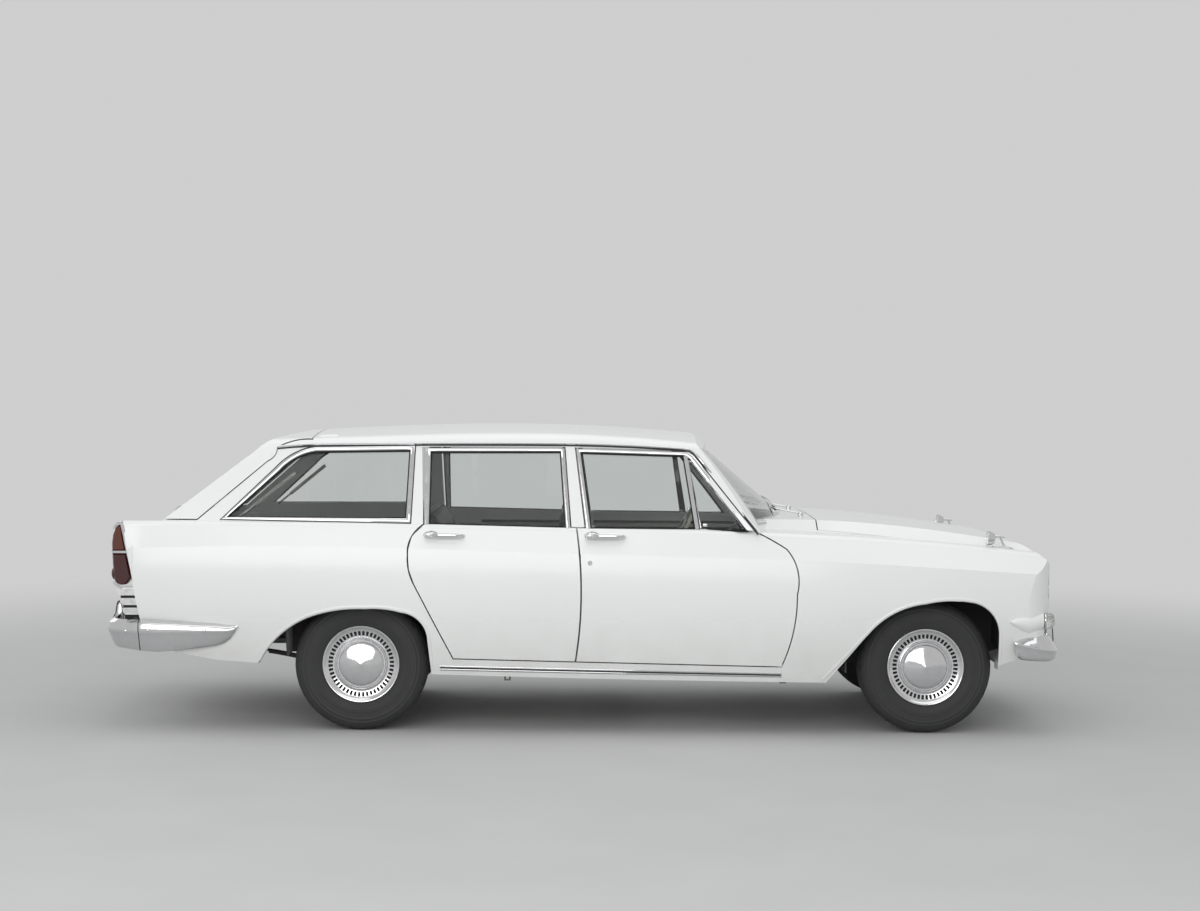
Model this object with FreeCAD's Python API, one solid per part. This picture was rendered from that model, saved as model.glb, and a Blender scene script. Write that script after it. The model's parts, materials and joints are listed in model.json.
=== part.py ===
# A large four-door station wagon of the early 1960s, with fins, a one-piece top-hinged tailgate,
# four round headlamps, a bench seat and a live rear axle on leaf springs.
# Millimetres. +X is the way it drives, +Y its left side and +Z up. The origin is on the ground
# below the middle of its length. The photographed side is the right one, at negative Y.
import os
from math import cos, radians, sin

import FreeCAD
import Part

V = FreeCAD.Vector
MIRROR_PLANE = (V(0, 0, 0), V(0, 1, 0))

# Driving dimensions
WHEELBASE = 2718
FRONT_AXLE_X = 1658
REAR_AXLE_X = FRONT_AXLE_X - WHEELBASE
AXLE_Z = 322
TYRE_RADIUS = 322
TYRE_WIDTH = 164
HALF_TRACK = 673
GAP = 6                 # shut line between panels
SKIN = 12               # wings and bonnet
WALL = 62               # doors and rear quarters, inner trim included
FRAME_WALL = 40         # roof, pillars and window frames
GLASS = 5
GLASS_DEPTH = 16        # outer face of a side glass behind the frame's face
GLASS_SEAT = 7          # how far a glass runs into its frame
KINGPIN_TILT = 6.5      # degrees
KINGPIN_Y = 605         # at axle height
TAILGATE_HINGE_X = -1292

# Sections of the lower body: half-widths and heights at each station.
# x, sill y z, widest y z, crease y z, shoulder y z, shoulder's middle y z, top edge y z, valley y z,
# deck edge y z, crown z
LOWER_STATIONS = [
    (-2300, 720, 300, 800, 640, 794, 868, 776, 985, 769, 1001, 755, 1006, 712, 977, 668, 948, 952),
    (-1700, 768, 300, 858, 640, 851, 893, 797, 988, 787, 1004, 768, 1009, 729, 997, 690, 985, 990),
    (-1060, 798, 290, 874, 650, 864, 893, 806, 985, 796, 1000, 777, 1005, 738, 1004, 700, 1003, 1006),
    (0, 815, 268, 876, 650, 866, 866, 808, 968, 799, 983, 780, 988, 740, 988, 700, 988, 992),
    (850, 812, 256, 876, 640, 865, 848, 812, 950, 802, 966, 780, 972, 700, 982, 606, 1022, 1030),
    (1658, 790, 250, 866, 620, 855, 812, 792, 905, 776, 924, 744, 932, 648, 928, 598, 982, 991),
    (2300, 700, 250, 806, 600, 795, 770, 752, 840, 738, 858, 708, 866, 640, 862, 586, 886, 902),
]
# Sections of the cabin above the belt: x, base y, rail y z, roof's shoulder y z, crown z
CABIN_BASE_Z = 880
CABIN_STATIONS = [
    (-2150, 802, 612, 1330, 560, 1372, 1402),
    (-1500, 818, 642, 1364, 592, 1402, 1430),
    (-700, 828, 668, 1384, 616, 1432, 1471),
    (0, 830, 670, 1389, 616, 1434, 1470),
    (500, 826, 655, 1358, 606, 1400, 1438),
    (1250, 806, 620, 1290, 570, 1320, 1350),
]
# The windscreen's face, as arcs in plan: z, x at the centre, x at 950 from the centre
SCREEN_ARCS = [(880, 1207, 703), (1500, 478, 430)]
SCREEN_ARC_Y = 950


def pt(x, z, y=0):
    return V(x, y, z)


def path(points, place=pt):
    """A closed wire. A point is (a, b), or (a, b, c, d) for an arc through (a, b) to (c, d)."""
    edges = []
    last = place(*points[0][-2:])
    start = last
    for point in points[1:]:
        end = place(*point[-2:])
        if len(point) == 4:
            edges.append(Part.Arc(last, place(*point[:2]), end).toShape())
        elif last.distanceToPoint(end) > 1e-6:
            edges.append(Part.LineSegment(last, end).toShape())
        last = end
    if last.distanceToPoint(start) > 1e-6:
        edges.append(Part.LineSegment(last, start).toShape())
    return Part.Wire(edges)


def side_prism(points, y0, y1, grow=0.0):
    """An outline in side view, extruded from y0 to y1 and grown by an offset."""
    wire = path(points)
    if grow:
        wire = wire.makeOffset2D(grow)
    wire.translate(V(0, y0, 0))
    return Part.Face(wire).extrude(V(0, y1 - y0, 0))


def plan_prism(points, z0, z1):
    wire = path(points, lambda x, y: V(x, y, z0))
    return Part.Face(wire).extrude(V(0, 0, z1 - z0))


def front_prism(points, x0, x1, grow=0.0):
    """An outline seen from ahead, as (y, z), extruded from x0 to x1 and grown by an offset."""
    wire = path(points, lambda y, z: V(x0, y, z))
    if grow:
        wire = wire.makeOffset2D(grow)
    prism = Part.Face(wire).extrude(V(x1 - x0, 0, 0))
    if prism.Volume < 0:
        prism.reverse()
    return prism


def box(x0, x1, y0, y1, z0, z1):
    return Part.makeBox(x1 - x0, y1 - y0, z1 - z0, V(x0, y0, z0))


def rod(start, end, radius):
    return Part.makeCylinder(radius, (end - start).Length, start, end - start)


def both(shape):
    """A shape at the right side and its mirror image at the left, as one compound."""
    return Part.makeCompound([shape, shape.mirror(*MIRROR_PLANE)])


def fuse(shapes):
    return shapes[0].multiFuse(shapes[1:]).removeSplitter() if len(shapes) > 1 else shapes[0]


def lower_section(row, inset):
    """One closed section of the lower body, drawn inwards by inset."""
    x, ys, zs, ym, zm, yc, zc, yh, zh, yv, zv, yt, zt, yw, zw, yd, zd, crown = row
    half = [
        (ys - inset, zs + inset), (ym - inset, zm), (yc - inset, zc), (yh - inset, zh - 0.6 * inset),
        (yv - 0.8 * inset, zv - 0.8 * inset), (yt - inset, zt - inset), (yw - inset, zw - inset), (yd - inset, zd - inset),
    ]
    right = [V(x, -y, z) for y, z in half]
    left = [V(x, y, z) for y, z in half]
    sill, widest, crease, shoulder, turn, top, valley, deck = right
    sill_l, widest_l, crease_l, shoulder_l, turn_l, top_l, valley_l, deck_l = left
    return Part.Wire([
        Part.Arc(sill, widest, crease).toShape(),
        Part.LineSegment(crease, shoulder).toShape(),
        Part.Arc(shoulder, turn, top).toShape(),
        Part.LineSegment(top, valley).toShape(),
        Part.LineSegment(valley, deck).toShape(),
        Part.Arc(deck, V(x, 0, crown - inset), deck_l).toShape(),
        Part.LineSegment(deck_l, valley_l).toShape(),
        Part.LineSegment(valley_l, top_l).toShape(),
        Part.Arc(top_l, turn_l, shoulder_l).toShape(),
        Part.LineSegment(shoulder_l, crease_l).toShape(),
        Part.Arc(crease_l, widest_l, sill_l).toShape(),
        Part.LineSegment(sill_l, sill).toShape(),
    ])


def cabin_section(row, inset):
    x, yb, yr, zr, ys, zs, crown = row
    mid_y = 0.5 * (yr + ys) + 9
    mid_z = 0.5 * (zr + zs) + 9
    half = [
        (yb - inset, CABIN_BASE_Z), (yr - inset, zr - 0.4 * inset), (mid_y - 0.75 * inset, mid_z - 0.75 * inset),
        (ys - 0.5 * inset, zs - inset),
    ]
    base, rail, turn, roof = [V(x, -y, z) for y, z in half]
    base_l, rail_l, turn_l, roof_l = [V(x, y, z) for y, z in half]
    return Part.Wire([
        Part.LineSegment(base, rail).toShape(),
        Part.Arc(rail, turn, roof).toShape(),
        Part.Arc(roof, V(x, 0, crown - inset), roof_l).toShape(),
        Part.Arc(roof_l, turn_l, rail_l).toShape(),
        Part.LineSegment(rail_l, base_l).toShape(),
        Part.LineSegment(base_l, base).toShape(),
    ])


# Side view of the body's ends. The nose leans back above and below its foremost line.
BODY_PROFILE = [
    (-2209, 1060), (-2109, 544), (-2040, 440, -1945, 381), (-1743, 343), (-1551, 331), (-1540, 200),
    (1980, 200), (2003, 338), (2106, 372), (2190, 430, 2222, 500), (2237, 577), (2268, 664, 2274, 755),
    (2256, 818, 2211, 861), (2170, 893, 2105, 920), (2000, 955), (2000, 1060),
]
BODY_PLAN = [
    (-2140, -900), (-2140, -812), (-2196, -800, -2225, -748), (-2225, 748), (-2196, 800, -2140, 812), (-2140, 900),
    (2080, 900), (2080, 838), (2222, 778, 2274, 664), (2290, 0, 2274, -664), (2222, -778, 2080, -838), (2080, -900),
]
# Side view of the cabin's rear: the tailgate's slope, and its turn into the roof
CABIN_REAR = [
    (-2180, 880), (-1594, 1336), (-1532, 1384, -1430, 1424), (-1000, 1530), (1300, 1530), (1300, 880),
]

REAR_DOOR = [
    (-758, 1000), (-812, 945, -829, 860), (-824, 787, -797, 716), (-612, 360), (-30, 349),
    (-4, 680, -28, 988), (-54, 990), (-86, 1368), (-772, 1365),
]
FRONT_DOOR = [
    (-28, 349), (955, 330), (1008, 500, 1024, 680), (1020, 815, 976, 893), (915, 930, 826, 975),
    (540, 1333), (518, 1351, 490, 1353), (-35, 1366), (14, 988), (-26, 988), (-2, 680, -28, 349),
]
REAR_DOOR_WINDOW = [(-734, 1000), (-734, 1346), (-106, 1350), (-78, 987)]
FRONT_DOOR_WINDOW = [(40, 984), (-12, 1347), (486, 1334), (518, 1318), (786, 981)]
QUARTER_WINDOW = [(-1703, 1027), (-1466, 1247), (-1392, 1308, -1290, 1343), (-832, 1352), (-843, 1027)]
FRONT_ARCH = [
    (1160, 240), (1363, 490), (1480, 590, 1640, 640), (1720, 652, 1800, 651), (1940, 620, 1997, 489),
    (2001, 200), (1160, 200),
]
REAR_ARCH = [
    (-1552, 322), (-1440, 470, -1300, 560), (-1170, 594, -1030, 602), (-930, 600, -860, 586),
    (-768, 540, -733, 450), (-709, 200), (-1552, 200),
]
# Side view of the tailgate's cut: up its flank, over the roof, then down behind the fins' inner faces
TAILGATE_FLANK = [
    (-1846, 1014), (-1521, 1295), (-1484, 1330, -1478, 1360), (-1420, 1386, -1310, 1400),
    (-1310, 1600), (-2400, 1600), (-2400, 1014),
]
FIN_INNER_Y = 690       # the tailgate lies between the fins
TAILGATE_SILL_Z = 590
FLOOR_Z = 300
LOAD_FLOOR_Z = 540
PANEL = 12              # floors and inner walls
BULKHEAD_X = 1080
BONNET_HALF = (668, 636)
BONNET_REAR_X = 1143
BONNET_LIP_Z = 866
COLUMN_TILT = 28
STEERING_CENTRE = (470, -360, 900)
# Windows seen from ahead or behind, as (y, z)
SCREEN_WINDOW = [(-702, 1018), (702, 1018), (575, 1352), (0, 1372, -575, 1352)]
TAILGATE_WINDOW = [(-640, 1040), (640, 1040), (560, 1300), (540, 1322, 510, 1326), (-510, 1326), (-540, 1322, -560, 1300)]
GRILLE_HOLE = front_prism([(-690, 604), (690, 604), (735, 650, 735, 715), (735, 780, 690, 826), (-690, 826), (-735, 780, -735, 715), (-735, 650, -690, 604)], 2120, 2400)
FRONT_BUMPER = [(2016, 331), (2106, 368), (2252, 369), (2330, 400), (2330, 470), (2189, 483), (2075, 456)]
FRONT_BUMPER_PLAN = [(1900, -868), (2090, -864), (2240, -830, 2290, -690), (2304, 0, 2290, 690), (2240, 830, 2090, 864), (1900, 868)]
REAR_BUMPER = [(-1638, 515), (-2089, 539), (-2330, 538), (-2330, 476), (-2203, 415), (-1941, 393), (-1717, 430)]
REAR_BUMPER_PLAN = [(-1500, 868), (-1700, 868), (-2100, 862), (-2250, 820, -2293, 660), (-2318, 0, -2293, -660), (-2250, -820, -2100, -862), (-1700, -868), (-1500, -868)]


def lower_body(inset):
    """The lower body as one block, drawn inwards by inset."""
    block = Part.makeLoft([lower_section(row, inset) for row in LOWER_STATIONS], True, False)
    wire = path(BODY_PROFILE)
    plan = path(BODY_PLAN, lambda x, y: V(x, y, 150))
    if inset:
        wire = wire.makeOffset2D(-inset)
        plan = plan.makeOffset2D(-inset)
    wire.translate(V(0, -1000, 0))
    profile = Part.Face(wire).extrude(V(0, 2000, 0))
    outline = Part.Face(plan).extrude(V(0, 0, 1000))
    return block.common(profile).common(outline)


def screen_block(inset):
    """All that lies behind the windscreen's curved face."""
    wires = []
    for z, centre, side in SCREEN_ARCS:
        wires.append(path([
            (-2500, -SCREEN_ARC_Y), (side - inset, -SCREEN_ARC_Y),
            (centre - inset, 0, side - inset, SCREEN_ARC_Y), (-2500, SCREEN_ARC_Y),
        ], lambda x, y, z=z: V(x, y, z)))
    return Part.makeLoft(wires, True, True)


def cabin(inset):
    """The cabin above the belt as one block, drawn inwards by inset."""
    block = Part.makeLoft([cabin_section(row, inset) for row in CABIN_STATIONS], True, False)
    wire = path(CABIN_REAR)
    if inset:
        wire = wire.makeOffset2D(-inset)
    wire.translate(V(0, -1000, 0))
    profile = Part.Face(wire).extrude(V(0, 2000, 0))
    return block.common(profile).common(screen_block(1.2 * inset))


def biggest(shape):
    return max(shape.Solids, key=lambda s: s.Volume)


class Body:
    """The shells that all panels are cut from. Those ending in side are their right-hand halves."""

    def __init__(self):
        half = box(-2500, 2500, -1000, 0, 0, 1700)
        self.outer = lower_body(0)
        wall_core = lower_body(WALL)
        self.wall_core = wall_core
        self.skin_core = lower_body(SKIN)
        self.cabin_core = cabin(FRAME_WALL)
        self.upper = cabin(0).cut(self.cabin_core).cut(self.outer)
        self.glass = cabin(GLASS_DEPTH).cut(cabin(GLASS_DEPTH + GLASS))
        self.glass_side = self.glass.common(half)
        self.skin = self.outer.cut(self.skin_core)
        self.wall = self.outer.cut(wall_core).cut(self.cabin_core)
        self.door_side = self.wall.common(box(-900, 1100, -1000, -745, 0, 1100))
        self.upper_side = self.upper.common(half)


# A door's outline and window in side view, and its rear edge as x, z and the depth y of the
# body's surface there. The rear edge leans forward as it goes in, so that it clears the pillar.
DOORS = {
    "rear": dict(
        outline=REAR_DOOR, window=REAR_DOOR_WINDOW, lean=0.36,
        edge=[(-612, 340, -838), (-797, 716, -876), (-824, 787, -875), (-829, 860, -868), (-812, 945, -825),
              (-758, 1000, -797), (-772, 1400, -660)]),
    "front": dict(
        outline=FRONT_DOOR, window=FRONT_DOOR_WINDOW, lean=0.27,
        edge=[(-30, 330, -835), (-12, 510, -866), (-4, 680, -876), (-9, 860, -867), (-28, 970, -806), (-28, 990, -796),
              (14, 990, -796), (-35, 1400, -665)]),
}


def leaning_prism(edge, lean, shift):
    """All that lies ahead of a door's rear edge, which leans forward towards the middle of the body."""
    points = [(x - lean * (1000 + y) + shift, z) for x, z, y in edge]
    wire = path(points + [(1300, points[-1][1]), (1300, points[0][1])])
    wire.translate(V(0, -1000, 0))
    return Part.Face(wire).extrude(V(lean * 500, 500, 0))


def build_door(body, row):
    """The right-hand door and its glass."""
    near = side_prism(row["outline"], -1000, -500, -GAP / 2).common(leaning_prism(row["edge"], row["lean"], GAP / 2))
    hole = side_prism(row["window"], -1000, -500)
    seat = side_prism(row["window"], -1000, -500, GLASS_SEAT)
    upper = body.upper_side.common(near).cut(hole)
    pane = biggest(body.glass_side.common(seat))
    link = box(-57, 17, -781, -600, 872, 991)
    lower = body.door_side.common(near).cut(link).cut(hole)
    panel = lower.fuse(upper).cut(pane)
    return biggest(panel), pane


def build_tailgate(body):
    flank = side_prism(TAILGATE_FLANK, -1000, 1000, -GAP / 2)
    y = FIN_INNER_Y - GAP / 2
    foot = box(-2400, -1800, -y, y, 900, 1020)
    upper = body.upper.common(flank.fuse(foot)).common(box(-2400, TAILGATE_HINGE_X - 18, -1000, 1000, 900, 1600))
    lower = body.wall.common(box(-2400, -1800, -y, y, TAILGATE_SILL_Z + GAP / 2, 1100))
    hole = front_prism(TAILGATE_WINDOW, -2300, -1400)
    seat = front_prism(TAILGATE_WINDOW, -2300, -1400, GLASS_SEAT)
    pane = biggest(body.glass.common(seat).common(box(-2300, -1480, -800, 800, 900, 1400)))
    panel = upper.cut(hole).fuse(lower).cut(pane)
    return biggest(panel), pane


def build_shell_nodes(body):
    nodes = {}
    rear_cut, front_cut = [side_prism(row["outline"], -1000, -500, GAP / 2) for row in DOORS.values()]
    flank_cut = side_prism(TAILGATE_FLANK, -1000, 1000, GAP / 2)
    tail_y = FIN_INNER_Y + GAP / 2
    front_arch = side_prism(FRONT_ARCH, -1000, -560)
    rear_arch = side_prism(REAR_ARCH, -1000, -560)
    b0, b1 = BONNET_HALF

    # Roof, pillars and window frames, in one piece
    screen_hole = front_prism(SCREEN_WINDOW, 300, 1300)
    seat = front_prism(SCREEN_WINDOW, 300, 1300, GLASS_SEAT)
    screen = screen_block(1.2 * GLASS_DEPTH).cut(screen_block(1.2 * (GLASS_DEPTH + GLASS))).common(seat)
    nodes["windscreen"] = screen.copy()
    quarter = biggest(body.glass_side.common(side_prism(QUARTER_WINDOW, -1000, -500, GLASS_SEAT)))
    frame = body.upper_side.cut(flank_cut.common(box(-2400, TAILGATE_HINGE_X - 12, -1000, 1000, 900, 1600)))
    foot = box(-2400, -1800, -tail_y, tail_y, 880, 1020)
    for tool in (rear_cut, front_cut, side_prism(QUARTER_WINDOW, -1000, -500), screen_hole, quarter, screen, foot):
        frame = frame.cut(tool)
    frame = biggest(frame)
    nodes["roof"] = frame.fuse(frame.mirror(*MIRROR_PLANE)).removeSplitter()
    nodes["quarter_glass"] = both(quarter)

    # One side: sill and rear quarter with its fin
    region = side_prism([(-2400, 200), (940, 200), (940, 905), (1078, 905), (1078, 1100), (-2400, 1100)], -1000, -690)
    side = body.wall.common(region).cut(rear_arch).cut(rear_cut).cut(front_cut)
    side = side.cut(box(-2400, -1800, -tail_y, 0, TAILGATE_SILL_Z, 1100))
    nodes["body_sides"] = Part.makeCompound([s for part in side.Solids for s in both(part).Solids])
    posts = [box(930, 1072, -738, -690, 330, 905), box(-90, 60, -738, -690, 330, 991).fuse(box(-48, 8, -774, -738, 880, 991))]
    nodes["door_posts"] = Part.makeCompound([both(biggest(p.cut(side))) for p in posts])

    # The front wings
    wing = body.skin.common(box(930, 2400, -1000, -500, 200, 1100))
    wing = wing.common(side_prism([(1078, 1100), (1078, 905), (940, 905), (940, 200), (2400, 200), (2400, 1100)], -1000, -500))
    wing = wing.cut(front_cut).cut(front_arch)
    wing = wing.cut(plan_prism([(900, -b0 - 3), (BONNET_REAR_X, -b0 - 3), (2400, -b1 - 3), (2400, 0), (900, 0)], 200, 1200))
    wing = wing.cut(box(1990, 2400, -700, 0, 200, BONNET_LIP_Z)).cut(box(900, 2400, -780, 0, 200, 300))
    wing = wing.cut(GRILLE_HOLE)
    nodes["front_wings"] = both(biggest(wing))

    # Bonnet, nose and scuttle
    bonnet = body.skin.common(plan_prism([(BONNET_REAR_X, -b0 + 3), (2400, -b1 + 3), (2400, b1 - 3), (BONNET_REAR_X, b0 - 3)], BONNET_LIP_Z + 3, 1200))
    nodes["bonnet"] = biggest(bonnet)
    nose = body.skin.common(box(2003, 2400, -700, 700, 200, BONNET_LIP_Z - 3)).cut(GRILLE_HOLE)
    nodes["front_panel"] = biggest(nose)
    deck = body.skin.common(box(700, BONNET_REAR_X - GAP, -690, 690, 905, 1200)).cut(body.cabin_core)
    deck = deck.cut(both(box(1078, 1200, -700, -b0 - 3, 800, 1200))).cut(nodes["windscreen"])
    nodes["scuttle"] = biggest(deck)
    wall = body.skin_core.common(box(BULKHEAD_X, BULKHEAD_X + PANEL, -690, 690, 300, 1200))
    nodes["bulkhead"] = biggest(wall.cut(both(box(1070, 1100, -700, -686, 200, 1100))))

    # The panel below the tailgate
    rear = body.wall.common(box(-2400, -1900, -690, 690, 380, TAILGATE_SILL_Z - GAP / 2))
    nodes["rear_panel"] = biggest(rear)
    return nodes


def build_inner_nodes(body):
    nodes = {}
    core = body.wall_core
    # Floor: the front pan, the step below the rear seat, the load floor and the rear wheel houses
    floor = box(-640, 1078, -690, 690, FLOOR_Z - 12, FLOOR_Z)
    step = box(-652, -640, -690, 690, FLOOR_Z - 12, LOAD_FLOOR_Z)
    load = box(-2110, -640, -556, 556, LOAD_FLOOR_Z - 12, LOAD_FLOOR_Z)
    tail = box(-2110, -1420, -690, 690, LOAD_FLOOR_Z - 12, LOAD_FLOOR_Z)
    ahead = box(-700, -640, -690, 690, LOAD_FLOOR_Z - 12, LOAD_FLOOR_Z)
    tunnel = box(-640, 1078, -110, 110, FLOOR_Z, FLOOR_Z + 110).cut(box(-640, 1078, -98, 98, FLOOR_Z - 20, FLOOR_Z + 98))
    parts = [floor, step, load, tail, ahead, tunnel]
    for side in (-1, 1):
        y0, y1 = sorted((side * 556, side * 812))
        house = box(-1420, -694, y0, y1, 330, 678)
        i0, i1 = sorted((side * 562, side * 900))
        house = house.cut(box(-1414, -700, i0, i1, 200, 672))
        house = house.cut(box(REAR_AXLE_X - 70, REAR_AXLE_X + 70, *sorted((side * 500, side * 600)), 200, 430))
        parts.append(house)
    pan = fuse(parts).common(core)
    nodes["floor_pan"] = biggest(pan.cut(box(-660, 1078, -98, 98, 200, FLOOR_Z + 98)))

    # Inner wings: a wall beside the engine bay and a box over each front wheel
    wall = box(BULKHEAD_X + PANEL, 2080, -402, -392, 300, 850)
    shelf = box(1262, 2050, -800, -402, 676, 684)
    front = box(2042, 2050, -800, -402, 400, 684)
    back = box(1262, 1270, -800, -402, 300, 684)
    inner = fuse([wall, shelf, front, back]).common(body.skin_core)
    inner = inner.cut(box(1500, 1820, -410, -380, 300, 560))
    nodes["inner_wings"] = both(biggest(inner))
    return nodes


def revolve(profile, centre, direction=(0, 1, 0)):
    """A profile of (radius, y) turned about an axis along Y through centre."""
    wire = path(profile, lambda r, y: V(centre[0] + r, centre[1] + y, centre[2]))
    return Part.Face(wire).revolve(V(*centre), V(*direction), 360)


def wheel_pair(x, side):
    """Tyre and wheel at one corner. The profile's y is outwards."""
    s = side
    c = (x, s * HALF_TRACK, AXLE_Z)
    h = TYRE_WIDTH / 2
    tyre = [
        (172, s * (h - 24)), (186, s * (h - 12)), (214, s * (h - 2), 246, s * h), (280, s * (h - 4), 306, s * (h - 20)),
        (316, s * (h - 26), TYRE_RADIUS, s * (h - 40)), (TYRE_RADIUS, -s * (h - 40)), (316, -s * (h - 26), 306, -s * (h - 20)),
        (280, -s * (h - 4), 246, -s * h), (214, -s * (h - 2), 186, -s * (h - 12)), (172, -s * (h - 24)),
    ]
    rim = [
        (0, s * 88), (60, s * 78), (104, s * 62), (126, s * 50), (150, s * 56), (170, s * 68), (180, s * 73), (185, s * 72),
        (171, s * 59), (171, -s * 60), (159, -s * 60), (159, s * 22), (0, s * 22),
    ]
    return revolve(tyre, c), revolve(rim, c)


def build_running_gear():
    nodes = {}
    for end, x in (("front", FRONT_AXLE_X), ("rear", REAR_AXLE_X)):
        for name, side in (("right", -1), ("left", 1)):
            tyre, wheel = wheel_pair(x, side)
            nodes["tyre_%s_%s" % (end, name)] = tyre
            nodes["wheel_%s_%s" % (end, name)] = wheel
    for name, side in (("right", -1), ("left", 1)):
        top = KINGPIN_Y - 105 * sin(radians(KINGPIN_TILT))
        low = KINGPIN_Y + 105 * sin(radians(KINGPIN_TILT))
        pin = rod(V(FRONT_AXLE_X, side * low, AXLE_Z - 105), V(FRONT_AXLE_X, side * top, AXLE_Z + 105), 17)
        stub = rod(V(FRONT_AXLE_X, side * (KINGPIN_Y - 12), AXLE_Z), V(FRONT_AXLE_X, side * (HALF_TRACK + 14), AXLE_Z), 24)
        y0, y1 = sorted((side * (KINGPIN_Y - 30), side * (KINGPIN_Y - 8)))
        arm = box(FRONT_AXLE_X - 120, FRONT_AXLE_X, y0, y1, AXLE_Z - 60, AXLE_Z - 36)
        nodes["knuckle_%s" % name] = fuse([pin, stub, arm])
    axle = rod(V(REAR_AXLE_X, -640, AXLE_Z), V(REAR_AXLE_X, 640, AXLE_Z), 38)
    diff = rod(V(REAR_AXLE_X + 120, 0, AXLE_Z), V(REAR_AXLE_X - 110, 0, AXLE_Z), 105)
    springs = [box(-1700, -480, s - 30, s + 30, 250, 300) for s in (-480, 480)]
    ends = [box(x - 25, x + 25, s - 24, s + 24, 290, 528) for s in (-480, 480) for x in (-1670, -695)]
    nodes["rear_axle"] = fuse([axle, diff] + springs + ends)
    shaft = rod(V(960, 0, 345), V(REAR_AXLE_X + 126, 0, 325), 36)
    nodes["propeller_shaft"] = shaft
    member = box(1600, 1716, -380, 380, 200, 270)
    arms = []
    for s in (-1, 1):
        for z, y_end in ((212, 566), (432, 540)):
            y0, y1 = s * 300, s * y_end
            arms.append(plan_prism([(1570, y0), (1746, y0), (1676, y1), (1640, y1)], z - 10, z + 10))
        tower = box(1600, 1716, *sorted((s * 300, s * 392)), 200, 676)
        arms.append(tower)
    nodes["front_suspension"] = fuse([member] + arms)
    return nodes


def build_cabin_nodes():
    nodes = {}
    cushion = path([(-60, FLOOR_Z + 20), (440, FLOOR_Z + 20), (440, 540), (60, 520), (-20, 1060), (-90, 1090, -130, 1040), (-60, FLOOR_Z + 20)])
    front = Part.Face(cushion).extrude(V(0, 1280, 0))
    front.translate(V(0, -640, 0))
    nodes["front_seat"] = front.cut(box(-700, 1078, -116, 116, 200, FLOOR_Z + 116))
    bench = path([(-640, LOAD_FLOOR_Z - 200), (-200, LOAD_FLOOR_Z - 200), (-200, 560), (-620, 540), (-700, 1040), (-770, 1070, -810, 1020), (-700, LOAD_FLOOR_Z + 6), (-640, LOAD_FLOOR_Z + 6)])
    rear = Part.Face(bench).extrude(V(0, 1080, 0))
    rear.translate(V(0, -540, 0))
    rear = rear.cut(box(-700, 1078, -116, 116, 200, FLOOR_Z + 116))
    nodes["rear_seat"] = rear
    board = path([(1070, 960), (850, 935), (800, 900), (810, 800), (880, 740), (1070, 740)])
    dash = Part.Face(board).extrude(V(0, 1360, 0))
    dash.translate(V(0, -680, 0))
    s, c = sin(radians(COLUMN_TILT)), cos(radians(COLUMN_TILT))
    hub = V(*STEERING_CENTRE)
    down = V(c, 0, -s)
    column = rod(hub + down * 46, hub + down * 560, 26)
    nodes["dashboard"] = fuse([dash, column])
    ring = Part.makeTorus(198, 11, hub, down)
    boss = rod(hub - down * 14, hub + down * 38, 34)
    side = V(0, 1, 0)
    spokes = [rod(hub + side * 20 * k, hub + side * 192 * k, 9) for k in (-1, 1)]
    nodes["steering_wheel"] = fuse([ring, boss] + spokes)
    return nodes


def bumper(body, outline, plan, thickness):
    wire = path(plan, lambda x, y: V(x, y, 100))
    ring = Part.Face(wire).extrude(V(0, 0, 700)).cut(Part.Face(wire.makeOffset2D(-thickness)).extrude(V(0, 0, 700)))
    return ring.common(side_prism(outline, -1000, 1000)).cut(body.outer)


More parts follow.
